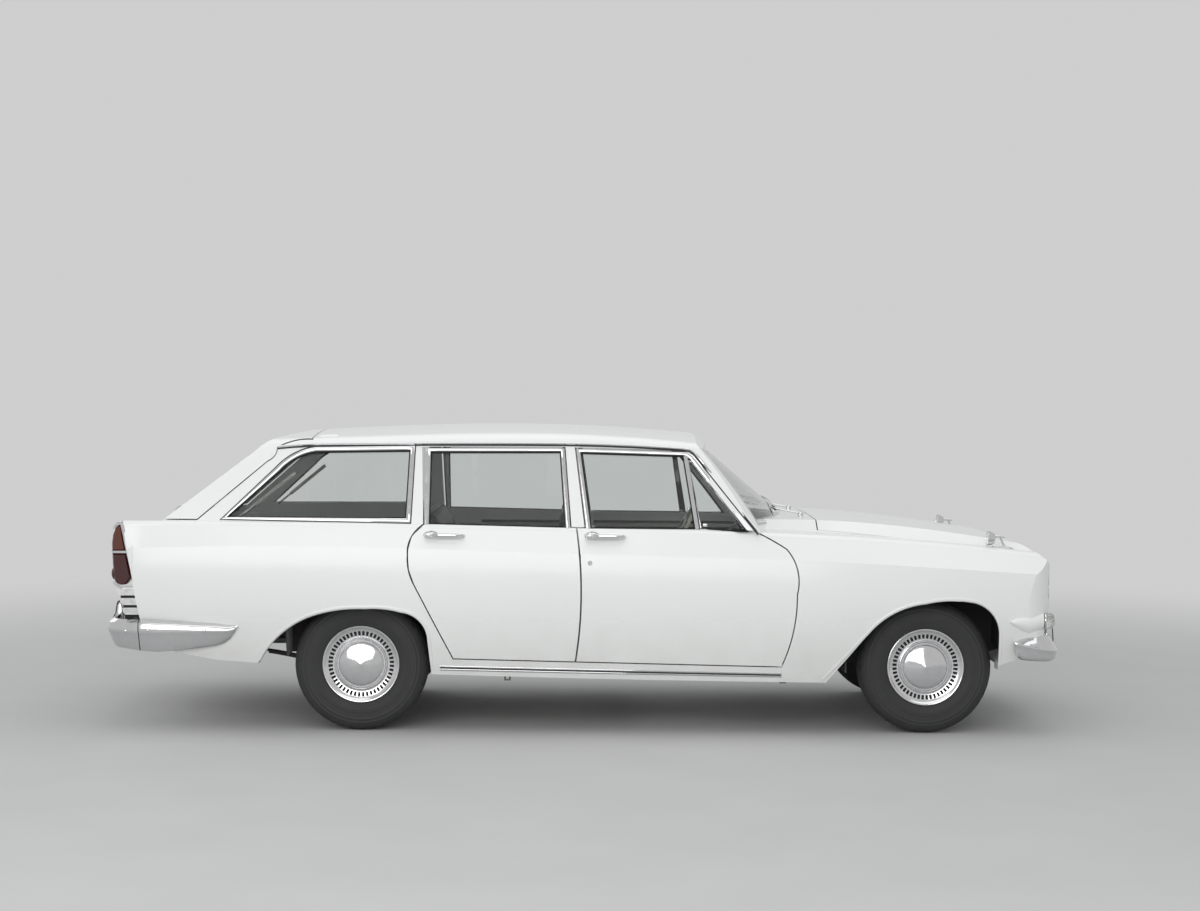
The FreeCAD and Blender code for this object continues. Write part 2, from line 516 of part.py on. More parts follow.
def build_ends(body):
    nodes = {}
    front = bumper(body, FRONT_BUMPER, FRONT_BUMPER_PLAN, 22)
    horns = [box(2268, 2318, y - 32, y + 32, 420, 560) for y in (-470, 470)]
    nodes["front_bumper"] = biggest(fuse([front] + horns).cut(body.outer))
    rear = bumper(body, REAR_BUMPER, REAR_BUMPER_PLAN, 22)
    horns = [box(-2312, -2260, y - 32, y + 32, 470, 606) for y in (-500, 500)]
    nodes["rear_bumper"] = biggest(fuse([rear] + horns).cut(body.outer))
    back = box(2120, 2130, -728, 728, 604, 826)
    bars = [box(2130, 2190, -728, 728, 618 + 17 * i, 624 + 17 * i) for i in range(12)]
    uprights = [box(2130, 2180, y - 3, y + 3, 604, 826) for y in range(-260, 261, 65)]
    lamps = []
    holes = []
    for s in (-1, 1):
        for y in (390, 590):
            lamps.append(rod(V(2131, s * y, 715), V(2205, s * y, 715), 88))
            holes.append(rod(V(2130.5, s * y, 715), V(2300, s * y, 715), 90))
    grille = fuse([back] + bars + uprights)
    nodes["grille"] = biggest(grille.cut(fuse(holes)).common(body.outer))
    nodes["headlamps"] = Part.makeCompound(lamps)
    pods = []
    for s in (-1, 1):
        fairing = Part.makeCone(6, 41, 146, V(2070, s * 748, 543), V(1, 0, 0))
        lens = rod(V(2215, s * 748, 543), V(2262, s * 748, 543), 38)
        pods.append(fairing.fuse(lens).cut(body.outer))
    nodes["side_lamps"] = Part.makeCompound([biggest(p) for p in pods])
    tail = side_prism([(-2243, 985), (-2250, 888), (-2240, 721), (-2150, 688), (-2130, 760), (-2190, 985)], -784, -704)
    tail = biggest(tail.cut(body.outer))
    nodes["tail_lamps"] = both(tail)
    nodes["engine"] = box(1180, 1880, -170, 170, 330, 830)
    nodes["exhaust"] = fuse([
        rod(V(1000, 220, 228), V(-2150, 220, 228), 22), rod(V(200, 220, 228), V(-350, 220, 228), 54),
    ])
    nodes["fuel_tank"] = box(-1885, -1590, -300, 150, 390, 520)
    stalk = rod(V(2030, -720, 868), V(2024, -720, 950), 7)
    head = Part.makeCylinder(38, 34, V(1956, -720, 954), V(1, 0, 0))
    arm = rod(V(2024, -720, 946), V(1972, -720, 954), 6)
    nodes["mirrors"] = both(fuse([stalk, head, arm]).cut(body.outer))
    return nodes


def main():
    body = Body()
    nodes = {}
    for name, row in DOORS.items():
        panel, pane = build_door(body, row)
        handle_x = -660 if name == "rear" else 108
        handle = box(handle_x - 90, handle_x + 90, -846, -800, 940, 956)
        panel = fuse([panel, handle])
        for side, shape in (("right", panel), ("left", panel.mirror(*MIRROR_PLANE))):
            nodes["door_%s_%s" % (name, side)] = shape
        for side, shape in (("right", pane), ("left", pane.mirror(*MIRROR_PLANE))):
            nodes["door_%s_%s_glass" % (name, side)] = shape
    nodes["tailgate"], nodes["tailgate_glass"] = build_tailgate(body)
    nodes.update(build_shell_nodes(body))
    nodes.update(build_inner_nodes(body))
    nodes.update(build_running_gear())
    nodes.update(build_cabin_nodes())
    nodes.update(build_ends(body))
    os.makedirs("parts", exist_ok=True)
    for name, shape in nodes.items():
        print(name, shape.isValid(), len(shape.Solids), round(shape.Volume / 1e6, 3))
        shape.exportStep("parts/%s.step" % name)


main()
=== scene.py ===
import json
from math import atan2, cos, hypot, pi, radians, sin

import bmesh
import bpy
from mathutils import Matrix, Vector
from mathutils.bvhtree import BVHTree

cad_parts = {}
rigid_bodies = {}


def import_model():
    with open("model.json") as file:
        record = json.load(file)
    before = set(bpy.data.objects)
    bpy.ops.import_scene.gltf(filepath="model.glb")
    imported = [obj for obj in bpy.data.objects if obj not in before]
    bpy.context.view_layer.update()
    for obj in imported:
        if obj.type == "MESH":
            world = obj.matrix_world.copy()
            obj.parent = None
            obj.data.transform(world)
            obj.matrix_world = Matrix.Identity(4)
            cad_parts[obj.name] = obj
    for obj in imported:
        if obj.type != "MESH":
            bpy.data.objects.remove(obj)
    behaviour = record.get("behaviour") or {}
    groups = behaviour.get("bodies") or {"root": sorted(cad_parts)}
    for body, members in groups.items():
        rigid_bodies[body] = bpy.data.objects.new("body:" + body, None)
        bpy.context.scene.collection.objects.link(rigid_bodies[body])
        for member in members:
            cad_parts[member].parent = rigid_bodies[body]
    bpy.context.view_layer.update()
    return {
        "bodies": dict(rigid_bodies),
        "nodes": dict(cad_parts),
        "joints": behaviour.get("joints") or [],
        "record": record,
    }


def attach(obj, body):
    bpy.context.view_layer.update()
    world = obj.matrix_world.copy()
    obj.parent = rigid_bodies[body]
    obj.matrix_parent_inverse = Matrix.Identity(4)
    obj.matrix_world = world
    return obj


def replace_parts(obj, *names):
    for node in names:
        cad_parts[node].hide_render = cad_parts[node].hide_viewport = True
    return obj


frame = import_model()
NODES = frame["nodes"]

FRONT_X, REAR_X, AXLE_Z, HALF_TRACK = 1.658, -1.060, 0.322, 0.673

# Camera: at the photograph's distance, nearly level with the roof, a little rolled
CAMERA_AT = (0.011, -10.75, 1.599)
FOCAL_PX = 2084.6
PHOTO_WIDTH = 1200
PHOTO_CENTRE = (600, 455.5)
HORIZON_AT = (585, 400)
camera_data = bpy.data.cameras.new("camera")
camera_data.sensor_width = 36
camera_data.lens = FOCAL_PX / PHOTO_WIDTH * camera_data.sensor_width
camera_data.clip_end = 100
camera = bpy.data.objects.new("camera", camera_data)
bpy.context.scene.collection.objects.link(camera)
YAW = atan2(PHOTO_CENTRE[0] - HORIZON_AT[0], FOCAL_PX)
PITCH = atan2(PHOTO_CENTRE[1] - HORIZON_AT[1], FOCAL_PX)
ROLL = radians(0.374)
camera.matrix_world = (
    Matrix.Translation(CAMERA_AT) @ Matrix.Rotation(-YAW, 4, "Z")
    @ Matrix.Rotation(pi / 2 - PITCH, 4, "X") @ Matrix.Rotation(ROLL, 4, "Z")
)
bpy.context.scene.camera = camera


# Materials
def material(name):
    m = bpy.data.materials.new(name)
    m.use_nodes = True
    nodes, links = m.node_tree.nodes, m.node_tree.links
    shader = nodes["Principled BSDF"]
    return m, nodes, links, shader


def noise_node(nodes, links, scale, detail=3.0):
    coord = nodes.new("ShaderNodeTexCoord")
    noise = nodes.new("ShaderNodeTexNoise")
    noise.inputs["Scale"].default_value = scale
    noise.inputs["Detail"].default_value = detail
    links.new(coord.outputs["Object"], noise.inputs["Vector"])
    return noise


def settings(node, values):
    for name, value in values.items():
        node.inputs[name].default_value = value


def grey(v):
    return (v, v, v, 1)


def ramp_node(nodes, links, source, low, high):
    ramp = nodes.new("ShaderNodeValToRGB")
    for element, position, color in zip(ramp.color_ramp.elements, (0.3, 0.7), (low, high)):
        element.position = position
        element.color = color
    links.new(source, ramp.inputs["Fac"])
    return ramp


def shade(color, factor):
    return tuple(min(1.0, c * factor) for c in color) + (1,)


def tone(nodes, links, color, low, high, scale, detail=3.0):
    """A colour that noise varies between two factors, and the noise itself."""
    noise = noise_node(nodes, links, scale, detail)
    return noise, ramp_node(nodes, links, noise.outputs["Fac"], shade(color, low), shade(color, high))


def relief(nodes, links, shader, source, strength, distance=0.001):
    bump = nodes.new("ShaderNodeBump")
    settings(bump, {"Strength": strength, "Distance": distance})
    links.new(source, bump.inputs["Height"])
    links.new(bump.outputs["Normal"], shader.inputs["Normal"])


def maths(nodes, links, operation, first, second):
    """A maths node. Its inputs take the output of a node or a number."""
    node = nodes.new("ShaderNodeMath")
    node.operation = operation
    for socket, value in zip(node.inputs, (first, second)):
        if isinstance(value, bpy.types.NodeSocket):
            links.new(value, socket)
        else:
            socket.default_value = value
    return node


def surface(name, color, vary=0.03, scale=6.0, rough=0.4, rough_vary=0.05, metallic=0.0, bump=0.0,
            bump_scale=200.0, sheen=0.0):
    """A surface whose colour, roughness and relief vary a little with noise."""
    m, nodes, links, shader = material(name)
    noise, color_ramp = tone(nodes, links, color, 1 - vary, 1 + vary, scale)
    links.new(color_ramp.outputs["Color"], shader.inputs["Base Color"])
    rough_ramp = ramp_node(nodes, links, noise.outputs["Fac"], grey(max(0, rough - rough_vary)),
                           grey(rough + rough_vary))
    links.new(rough_ramp.outputs["Color"], shader.inputs["Roughness"])
    settings(shader, {"Metallic": metallic, "Sheen Weight": sheen})
    if bump:
        relief(nodes, links, shader, noise_node(nodes, links, bump_scale, 2.0).outputs["Fac"], bump)
    return m


def paint_material(name, color):
    """White enamel with a slight unevenness, duller and darker in blotches towards the sills."""
    m, nodes, links, shader = material(name)
    _, color_ramp = tone(nodes, links, color, 0.975, 1, 1.6, 4.0)
    coord = nodes.new("ShaderNodeTexCoord")
    split = nodes.new("ShaderNodeSeparateXYZ")
    links.new(coord.outputs["Object"], split.inputs["Vector"])
    # Towards the sills the colour darkens in noisy blotches and the roughness rises
    height = nodes.new("ShaderNodeMapRange")
    settings(height, {"From Min": 0.25, "From Max": 0.62, "To Min": 0.42, "To Max": 0.0})
    links.new(split.outputs["Z"], height.inputs["Value"])
    sill_blotches = noise_node(nodes, links, 9.0, 6.0)
    sill_darkening = maths(nodes, links, "MULTIPLY", height.outputs["Result"], sill_blotches.outputs["Fac"]).outputs["Value"]
    mix = nodes.new("ShaderNodeMixRGB")
    mix.inputs["Color2"].default_value = (0.42, 0.40, 0.37, 1)
    links.new(sill_darkening, mix.inputs["Fac"])
    links.new(color_ramp.outputs["Color"], mix.inputs["Color1"])
    links.new(mix.outputs["Color"], shader.inputs["Base Color"])
    rough = maths(nodes, links, "MULTIPLY_ADD", sill_darkening, 0.9)
    rough.inputs[2].default_value = 0.24
    links.new(rough.outputs["Value"], shader.inputs["Roughness"])
    settings(shader, {"Coat Weight": 0.35, "Coat Roughness": 0.10})
    relief(nodes, links, shader, noise_node(nodes, links, 260.0, 1.0).outputs["Fac"], 0.05, 0.0004)
    return m


def glass_material(name, tint):
    m, nodes, links, shader = material(name)
    _, color_ramp = tone(nodes, links, tint, 0.98, 1, 3.0, 2.0)
    links.new(color_ramp.outputs["Color"], shader.inputs["Base Color"])
    settings(shader, {"Transmission Weight": 1.0, "Roughness": 0.0, "IOR": 1.45})
    return m


def lens_material(name, color, rough=0.12, transmission=0.1):
    """Ribbed lens plastic."""
    m, nodes, links, shader = material(name)
    _, color_ramp = tone(nodes, links, color, 0.85, 1, 60.0, 2.0)
    links.new(color_ramp.outputs["Color"], shader.inputs["Base Color"])
    settings(shader, {"Transmission Weight": transmission, "Roughness": rough, "Coat Weight": 0.6})
    wave = nodes.new("ShaderNodeTexWave")
    wave.inputs["Scale"].default_value = 70.0
    coord = nodes.new("ShaderNodeTexCoord")
    links.new(coord.outputs["Object"], wave.inputs["Vector"])
    relief(nodes, links, shader, wave.outputs["Fac"], 0.4)
    return m


PAINT = paint_material("white enamel", (0.80, 0.81, 0.80))
CHROME = surface("chrome", (0.70, 0.70, 0.71), vary=0.03, rough=0.09, rough_vary=0.03, metallic=1.0, scale=30)
POLISHED = surface("polished trim", (0.74, 0.74, 0.75), vary=0.04, rough=0.17, rough_vary=0.05,
                   metallic=1.0, scale=40)
BRIGHT = surface("bright strip", (0.72, 0.72, 0.73), vary=0.03, rough=0.22, rough_vary=0.04, metallic=1.0,
                 scale=40)
GLASS = glass_material("window glass", (0.90, 0.93, 0.92))
# Black rubber; also painted shadow in the strip under each drip rail
RUBBER_AND_SHADOW = surface("black rubber and painted shadow", (0.022, 0.022, 0.023), vary=0.15, rough=0.6, rough_vary=0.1, bump=0.2,
                 bump_scale=400)
TYRE = surface("tyre rubber", (0.030, 0.030, 0.031), vary=0.18, scale=14, rough=0.72, rough_vary=0.1,
               bump=0.25, bump_scale=500)
VINYL = surface("dark vinyl", (0.035, 0.022, 0.020), vary=0.2, scale=25, rough=0.42, rough_vary=0.08,
                bump=0.5, bump_scale=900)
LINING = surface("pale headlining", (0.62, 0.61, 0.57), vary=0.05, scale=40, rough=0.9, bump=0.5,
                 bump_scale=700)
CARPET = surface("dark carpet", (0.045, 0.040, 0.038), vary=0.3, scale=300, rough=0.95, bump=1.0,
                 bump_scale=900, sheen=0.3)
UNDER = surface("underbody", (0.040, 0.039, 0.037), vary=0.35, scale=8, rough=0.8, rough_vary=0.12,
                bump=0.6, bump_scale=120)
STEEL = surface("dull steel", (0.16, 0.155, 0.15), vary=0.3, scale=14, rough=0.55, rough_vary=0.12,
                metallic=0.8, bump=0.3, bump_scale=200)
CASTING = surface("engine paint", (0.10, 0.13, 0.12), vary=0.25, scale=12, rough=0.5, rough_vary=0.1,
                  bump=0.6, bump_scale=180)
RED = lens_material("red lens", (0.055, 0.004, 0.004))
AMBER = lens_material("upper lens", (0.12, 0.022, 0.009))
CLEAR = lens_material("clear lens", (0.86, 0.86, 0.84), rough=0.08, transmission=0.85)
# Near-black: the own colour of dial faces and joint lines, and painted shade behind the grille, on the trims'
# slot floors and under the lamp plates
BLACK_AND_SHADE = surface("black and painted shade", (0.010, 0.010, 0.010), vary=0.1, rough=0.8)
PLASTIC = surface("dark plastic", (0.03, 0.028, 0.027), vary=0.12, scale=60, rough=0.38, rough_vary=0.06,
                  bump=0.2, bump_scale=600)
MIRROR = surface("mirror glass", (0.85, 0.86, 0.86), vary=0.01, rough=0.02, rough_vary=0.01, metallic=1.0)
PLATE = surface("blank plate", (0.02, 0.02, 0.021), vary=0.1, rough=0.35)
REFLECTOR = surface("lamp reflector", (0.85, 0.85, 0.86), vary=0.01, rough=0.06, rough_vary=0.02,
                    metallic=1.0)
FLUTED = lens_material("fluted glass", (0.93, 0.94, 0.94), rough=0.03, transmission=0.95)
IVORY = surface("ivory plastic", (0.55, 0.52, 0.44), vary=0.04, scale=20, rough=0.3)
PIPING = surface("pale piping", (0.50, 0.49, 0.46), vary=0.05, scale=80, rough=0.5)
CARD = surface("door card", (0.085, 0.060, 0.052), vary=0.12, scale=30, rough=0.5, bump=0.4, bump_scale=700)

PANEL_SHARP, PART_SHARP, ADDED_SHARP = 46, 28, 30
CAD_MATERIALS = {"glass": GLASS, "windscreen": GLASS, "tyre": TYRE, "wheel_": POLISHED, "seat": VINYL,
                 "dashboard": PLASTIC, "steering_wheel": PLASTIC, "floor_pan": CARPET, "inner_wings": UNDER,
                 "rear_axle": UNDER, "propeller_shaft": UNDER, "front_suspension": UNDER, "knuckle": STEEL,
                 "exhaust": STEEL, "fuel_tank": UNDER, "engine": CASTING, "bumper": CHROME,
                 "mirrors": CHROME, "grille": POLISHED, "tail_lamps": RED, "headlamps": CLEAR,
                 "side_lamps": AMBER, "bulkhead": UNDER}
for node_name, obj in NODES.items():
    chosen = PAINT
    for key, m in CAD_MATERIALS.items():
        if key in node_name:
            chosen = m
            break
    obj.data.materials.clear()
    obj.data.materials.append(chosen)
    for polygon in obj.data.polygons:
        polygon.use_smooth = True
    obj.data.set_sharp_from_angle(angle=radians(PANEL_SHARP if chosen == PAINT else PART_SHARP))


# Shapes
def mm(*values):
    return tuple(v * 0.001 for v in values)


class Shape:
    """Points and faces that grow part by part, each face with its material."""

    def __init__(self):
        self.points, self.faces, self.slots, self.materials = [], [], [], []

    def add(self, points, faces, mat):
        if mat not in self.materials:
            self.materials.append(mat)
        start = len(self.points)
        self.points.extend(Vector(p) for p in points)
        self.faces.extend([tuple(i + start for i in face) for face in faces])
        self.slots.extend([self.materials.index(mat)] * len(faces))
        return self

    def mirrored(self):
        twin = Shape()
        twin.points = [Vector((p.x, -p.y, p.z)) for p in self.points]
        twin.faces = [tuple(reversed(f)) for f in self.faces]
        twin.slots, twin.materials = list(self.slots), list(self.materials)
        return twin

    def build(self, name, body, sharp=ADDED_SHARP):
        mesh = bpy.data.meshes.new(name)
        mesh.from_pydata(self.points, [], self.faces)
        for mat in self.materials:
            mesh.materials.append(mat)
        for polygon, slot_index in zip(mesh.polygons, self.slots):
            polygon.material_index = slot_index
            polygon.use_smooth = True
        bm = bmesh.new()
        bm.from_mesh(mesh)
        bmesh.ops.remove_doubles(bm, verts=bm.verts, dist=1e-6)
        bmesh.ops.recalc_face_normals(bm, faces=bm.faces)
        bm.to_mesh(mesh)
        bm.free()
        mesh.set_sharp_from_angle(angle=radians(sharp))
        obj = bpy.data.objects.new(name, mesh)
        bpy.context.scene.collection.objects.link(obj)
        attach(obj, body)
        return obj


def sided(name, shape, body="body"):
    """The piece on the right side and its mirror image on the left. A %s in body takes the side."""
    return [form.build(name + "_" + side, body % side if "%s" in body else body)
            for side, form in (("right", shape), ("left", shape.mirrored()))]


def grid_faces(rows, cols, close_rows=False, close_cols=False):
    """Quads between rows of points, cols to a row."""
    faces = []
    for i in range(rows if close_rows else rows - 1):
        for j in range(cols if close_cols else cols - 1):
            a, b = i * cols + j, i * cols + (j + 1) % cols
            c, d = ((i + 1) % rows) * cols + (j + 1) % cols, ((i + 1) % rows) * cols + j
            faces.append((a, b, c, d))
    return faces


def capped(rows, cols):
    """Quads round rings of cols points, and a face over each end."""
    last = (rows - 1) * cols
    return grid_faces(rows, cols, close_cols=True) + [tuple(range(cols)), tuple(range(last, last + cols))]


def slab(points, rows, cols, depth):
    """A grid of points made solid by a second one, moved by depth, and a rim between them."""
    n = rows * cols
    front = grid_faces(rows, cols)
    rim = list(range(cols)) + [i * cols + cols - 1 for i in range(1, rows)]
    rim += [(rows - 1) * cols + j for j in reversed(range(cols - 1))]
    rim += [i * cols for i in reversed(range(1, rows - 1))]
    faces = front + [tuple(i + n for i in reversed(f)) for f in front]
    faces += [(a, b, b + n, a + n) for a, b in zip(rim, rim[1:] + rim[:1])]
    return points + [p + Vector(depth) for p in points], faces


def arc_points(start, middle, end, count):
    """Points on the arc through three points in a plane, the first one left out."""
    (ax, ay), (bx, by), (cx, cy) = start, middle, end
    d = 2 * (ax * (by - cy) + bx * (cy - ay) + cx * (ay - by))
    ux = ((ax**2 + ay**2) * (by - cy) + (bx**2 + by**2) * (cy - ay) + (cx**2 + cy**2) * (ay - by)) / d
    uy = ((ax**2 + ay**2) * (cx - bx) + (bx**2 + by**2) * (ax - cx) + (cx**2 + cy**2) * (bx - ax)) / d
    r = hypot(ax - ux, ay - uy)
    a0, am, a1 = (atan2(y - uy, x - ux) for x, y in (start, middle, end))
    turn = (a1 - a0) % (2 * pi)
    if (am - a0) % (2 * pi) > turn:
        turn -= 2 * pi
    angles = [a0 + turn * k / count for k in range(1, count + 1)]
    return [(ux + r * cos(a), uy + r * sin(a)) for a in angles]


def outline(points, arc_steps=10):
    """A path in a plane. A point is (a, b), or (a, b, c, d) for an arc through (a, b) to (c, d)."""
    result = [points[0]]
    for p in points[1:]:
        result += [p] if len(p) == 2 else arc_points(result[-1], p[:2], p[2:], arc_steps)
    return result


def refine(points, step):
    """Adds points so that no stretch is longer than step."""
    result = []
    for a, b in zip(points, points[1:]):
        a, b = Vector(a), Vector(b)
        n = max(1, int((b - a).length / step + 0.5))
        result += [a.lerp(b, k / n) for k in range(n)]
    return result + [Vector(points[-1])]


def curve_through(points, steps=8):
    """A smooth line through points."""
    pts = [Vector(p) for p in points]
    pts = [2 * pts[0] - pts[1]] + pts + [2 * pts[-1] - pts[-2]]
    result = []
    for a, b, c, d in zip(pts, pts[1:], pts[2:], pts[3:]):
        for k in range(steps):
            t = k / steps
            result.append(0.5 * ((2 * b) + (c - a) * t + (2 * a - 5 * b + 4 * c - d) * t * t
                                 + (3 * b - a - 3 * c + d) * t**3))
    return result + [pts[-2]]


def sweep(path, section, out, closed=False):
    """A section of (outwards, across) points carried along a path. out gives the outward direction."""
    path = [Vector(p) for p in path]
    points = []
    n = len(path)
    for i, p in enumerate(path):
        before = path[(i - 1) % n] if closed or i else path[0]
        after = path[(i + 1) % n] if closed or i < n - 1 else path[-1]
        tangent = (after - before).normalized()
        o = out(p) if callable(out) else Vector(out)
        o = (o - tangent * o.dot(tangent)).normalized()
        across = tangent.cross(o)
        if 0 < i < n - 1 or closed:
            d0 = (p - before).normalized()
            spread = 1 / max(0.5, (0.5 * (1 + d0.dot((after - p).normalized())))**0.5)
        else:
            spread = 1.0
        points += [p + o * a + across * b * spread for a, b in section]
    m = len(section)
    return points, grid_faces(n, m, True, True) if closed else capped(n, m)


def ring_section(radius, count=12, squash=1.0):
    return [(radius * squash * cos(2 * pi * k / count), radius * sin(2 * pi * k / count))
            for k in range(count)]


def tube(path, radius, count=12):
    path = [Vector(p) for p in path]
    line = path[-1] - path[0]
    side = Vector((0, 0, 1)) if abs(line.normalized().z) < 0.8 else Vector((0, 1, 0))
    return sweep(path, ring_section(radius, count), side)


def lathe(profile, centre, axis, count):
    """A profile of (radius, height along the axis) turned about the axis through centre."""
    axis = Vector(axis).normalized()
    u = axis.orthogonal().normalized()
    v = axis.cross(u)
    centre = Vector(centre)
    points, index = [], []
    for r, h in profile:
        if r < 1e-6:
            index.append([len(points)] * count)
            points.append(centre + axis * h)
        else:
            index.append(list(range(len(points), len(points) + count)))
            for k in range(count):
                a = 2 * pi * k / count
                points.append(centre + axis * h + (u * cos(a) + v * sin(a)) * r)
    faces = []
    for a, b in zip(index, index[1:] + index[:1]):
        for k in range(count):
            face = []
            for i in (a[k], a[(k + 1) % count], b[(k + 1) % count], b[k]):
                if i not in face:
                    face.append(i)
            if len(face) > 2:
                faces.append(tuple(face))
    return points, faces


def bevel_box(low, high, radius, segments=3):
    bm = bmesh.new()
    bmesh.ops.create_cube(bm, size=1)
    size = [h - l for l, h in zip(low, high)]
    for v in bm.verts:
        v.co = Vector([l + (c + 0.5) * s for l, c, s in zip(low, v.co, size)])
    bmesh.ops.bevel(bm, geom=bm.edges[:], offset=radius, segments=segments, affect="EDGES", profile=0.5)
    bm.verts.index_update()
    result = [v.co.copy() for v in bm.verts], [tuple(v.index for v in f.verts) for f in bm.faces]
    bm.free()
    return result


# The body's surface as the CAD model has it, found by looking at it from the right-hand side
def surface_tree(names):
    points, faces = [], []
    for name in names:
        mesh = NODES[name].data
        start = len(points)
        points += [v.co.copy() for v in mesh.vertices]
        faces += [tuple(start + i for i in p.vertices) for p in mesh.polygons]
    return BVHTree.FromPolygons(points, faces)


GLASS_NAMES = [n for n in NODES if "glass" in n or n == "windscreen"]
SHELL_NAMES = [n for n in NODES if n.startswith(("door_", "tailgate")) or n in (
    "body_sides", "front_wings", "bonnet", "front_panel", "scuttle", "roof", "rear_panel")]
SHELL_NAMES = [n for n in SHELL_NAMES if n not in GLASS_NAMES and n != "door_posts"]
SHELL = surface_tree(SHELL_NAMES)
PANES = surface_tree(GLASS_NAMES)
FAR = 3.0
FRAME_STEP = 0.016      # how far the side glass lies behind the body's surface


def look(tree, x, z):
    """The outermost y at x, z on the right side, or None in an opening or a gap."""
    hit = tree.ray_cast(Vector((x, -FAR, z)), Vector((0, 1, 0)))[0]
    return hit.y if hit is not None and hit.y < -0.4 else None


def side_y(x, z):
    """The right side's surface below the belt, also across shut lines."""
    for dx in (0, 0.008, -0.008, 0.016, -0.016, 0.03, -0.03, 0.06, -0.06):
        y = look(SHELL, x + dx, z)
        if y is not None and y < -0.66:
            return y
    return -0.8


CABIN_X0, CABIN_X1, CABIN_STEP = -1.80, 0.86, 0.04
PANE_LOW, PANE_STEP, PANE_ROWS = 1.03, 0.012, 26


def cabin_lines():
    """The cabin's side at each x as a straight line in z, fitted to the panels and to the glass."""
    lines = []
    x = CABIN_X0
    while x < CABIN_X1 + 1e-6:
        found = []
        for k in range(PANE_ROWS):
            z = PANE_LOW + PANE_STEP * k
            y = look(SHELL, x, z)
            if y is None or y > -0.6:
                y = look(PANES, x, z)
                if y is not None:
                    y -= FRAME_STEP + 0.004 * (z - 0.88) / 0.48
            if y is not None and y < -0.6:
                found.append((z, y))
        if len(found) > 7:
            lo, hi = found[1], found[-2]
            slope = (hi[1] - lo[1]) / (hi[0] - lo[0])
            lines.append((x, lo[1] - slope * lo[0], slope))
        x += CABIN_STEP
    return lines


CABIN_LINES = cabin_lines()


def cabin_y(x, z):
    """The outermost y of the right-hand side of the cabin at x, z."""
    xs = [row[0] for row in CABIN_LINES]
    x = min(max(x, xs[0]), xs[-1])
    for a, b in zip(CABIN_LINES, CABIN_LINES[1:]):
        if x <= b[0]:
            t = (x - a[0]) / (b[0] - a[0])
            return (a[1] * (1 - t) + b[1] * t) + (a[2] * (1 - t) + b[2] * t) * z
    return CABIN_LINES[-1][1] + CABIN_LINES[-1][2] * z


CABIN_OUT = Vector((0, -1, 0.34)).normalized()


def ribbon(inner, outer, lift, back, step=0.04, closed=False, y_of=cabin_y, cross=6, edge=0.25):
    """A strip between two outlines in side view, rounded across. Its edges reach inwards by back."""
    rows = []
    pairs = list(zip(inner, outer))
    links = list(zip(pairs, pairs[1:] + (pairs[:1] if closed else [])))
    for (a0, b0), (a1, b1) in links:
        length = max(hypot(a1[0] - a0[0], a1[1] - a0[1]), hypot(b1[0] - b0[0], b1[1] - b0[1])) * 0.001
        n = max(1, int(length / step + 0.5))
        for k in range(n):
            t = k / n
            rows.append(((a0[0] + (a1[0] - a0[0]) * t, a0[1] + (a1[1] - a0[1]) * t),
                         (b0[0] + (b1[0] - b0[0]) * t, b0[1] + (b1[1] - b0[1]) * t)))
    if not closed:
        rows.append(pairs[-1])
    points = []
    for a, b in rows:
        for j in range(cross + 3):
            if j == 0 or j == cross + 2:
                p, rise = (a if j == 0 else b), -back
            else:
                t = (j - 1) / cross
                p = (a[0] + (b[0] - a[0]) * t, a[1] + (b[1] - a[1]) * t)
                rise = lift * (edge + (1 - edge) * (1 - (2 * t - 1)**2)**0.5)
            x, z = p[0] * 0.001, p[1] * 0.001
            points.append(Vector((x, y_of(x, z), z)) + CABIN_OUT * rise)
    n, m = len(rows), cross + 3
    return points, grid_faces(n, m, True, True) if closed else capped(n, m)


def shifted(points, d, closed=True):
    """An outline moved sideways by d, to the left of its direction where d is positive."""
    result = []
    n = len(points)
    for i, p in enumerate(points):
        before = points[i - 1] if closed or i else None
        after = points[(i + 1) % n] if closed or i < n - 1 else None
        normals = []
        for a, b in ((before, p), (p, after)):
            if a is not None and b is not None:
                length = hypot(b[0] - a[0], b[1] - a[1])
                normals.append((-(b[1] - a[1]) / length, (b[0] - a[0]) / length))
        nx = sum(v[0] for v in normals) / len(normals)
        nz = sum(v[1] for v in normals) / len(normals)
        scale = d / max(0.25, nx * nx + nz * nz)
        result.append((p[0] + nx * scale, p[1] + nz * scale))
    return result


# Chrome frames round the side windows, as (x, z) in millimetres: glass side, then outer side
REAR_FRAME = (
    [(-734, 1000), (-734, 1346), (-106, 1350), (-78, 987)],
    [(-756, 1000), (-769, 1362), (-89, 1365), (-57, 988)],
)
FRONT_FRAME = (
    [(40, 984), (-12, 1347), (486, 1334), (504, 1327), (518, 1318), (786, 981)],
    [(17, 988), (-32, 1363), (490, 1350), (519, 1346), (538, 1331), (821, 979)],
)
QUARTER_GLASS = outline([(-1703, 1027), (-1466, 1247), (-1392, 1308, -1290, 1343), (-832, 1352),
                         (-843, 1027)])
QUARTER_EDGE = shifted(QUARTER_GLASS, 21)
VENT_GLASS = [(571, 990), (514, 1304), (524, 1302), (768, 990)]
DIVISION_BAR = [(551, 984), (497, 1330)]
SEAL = 6


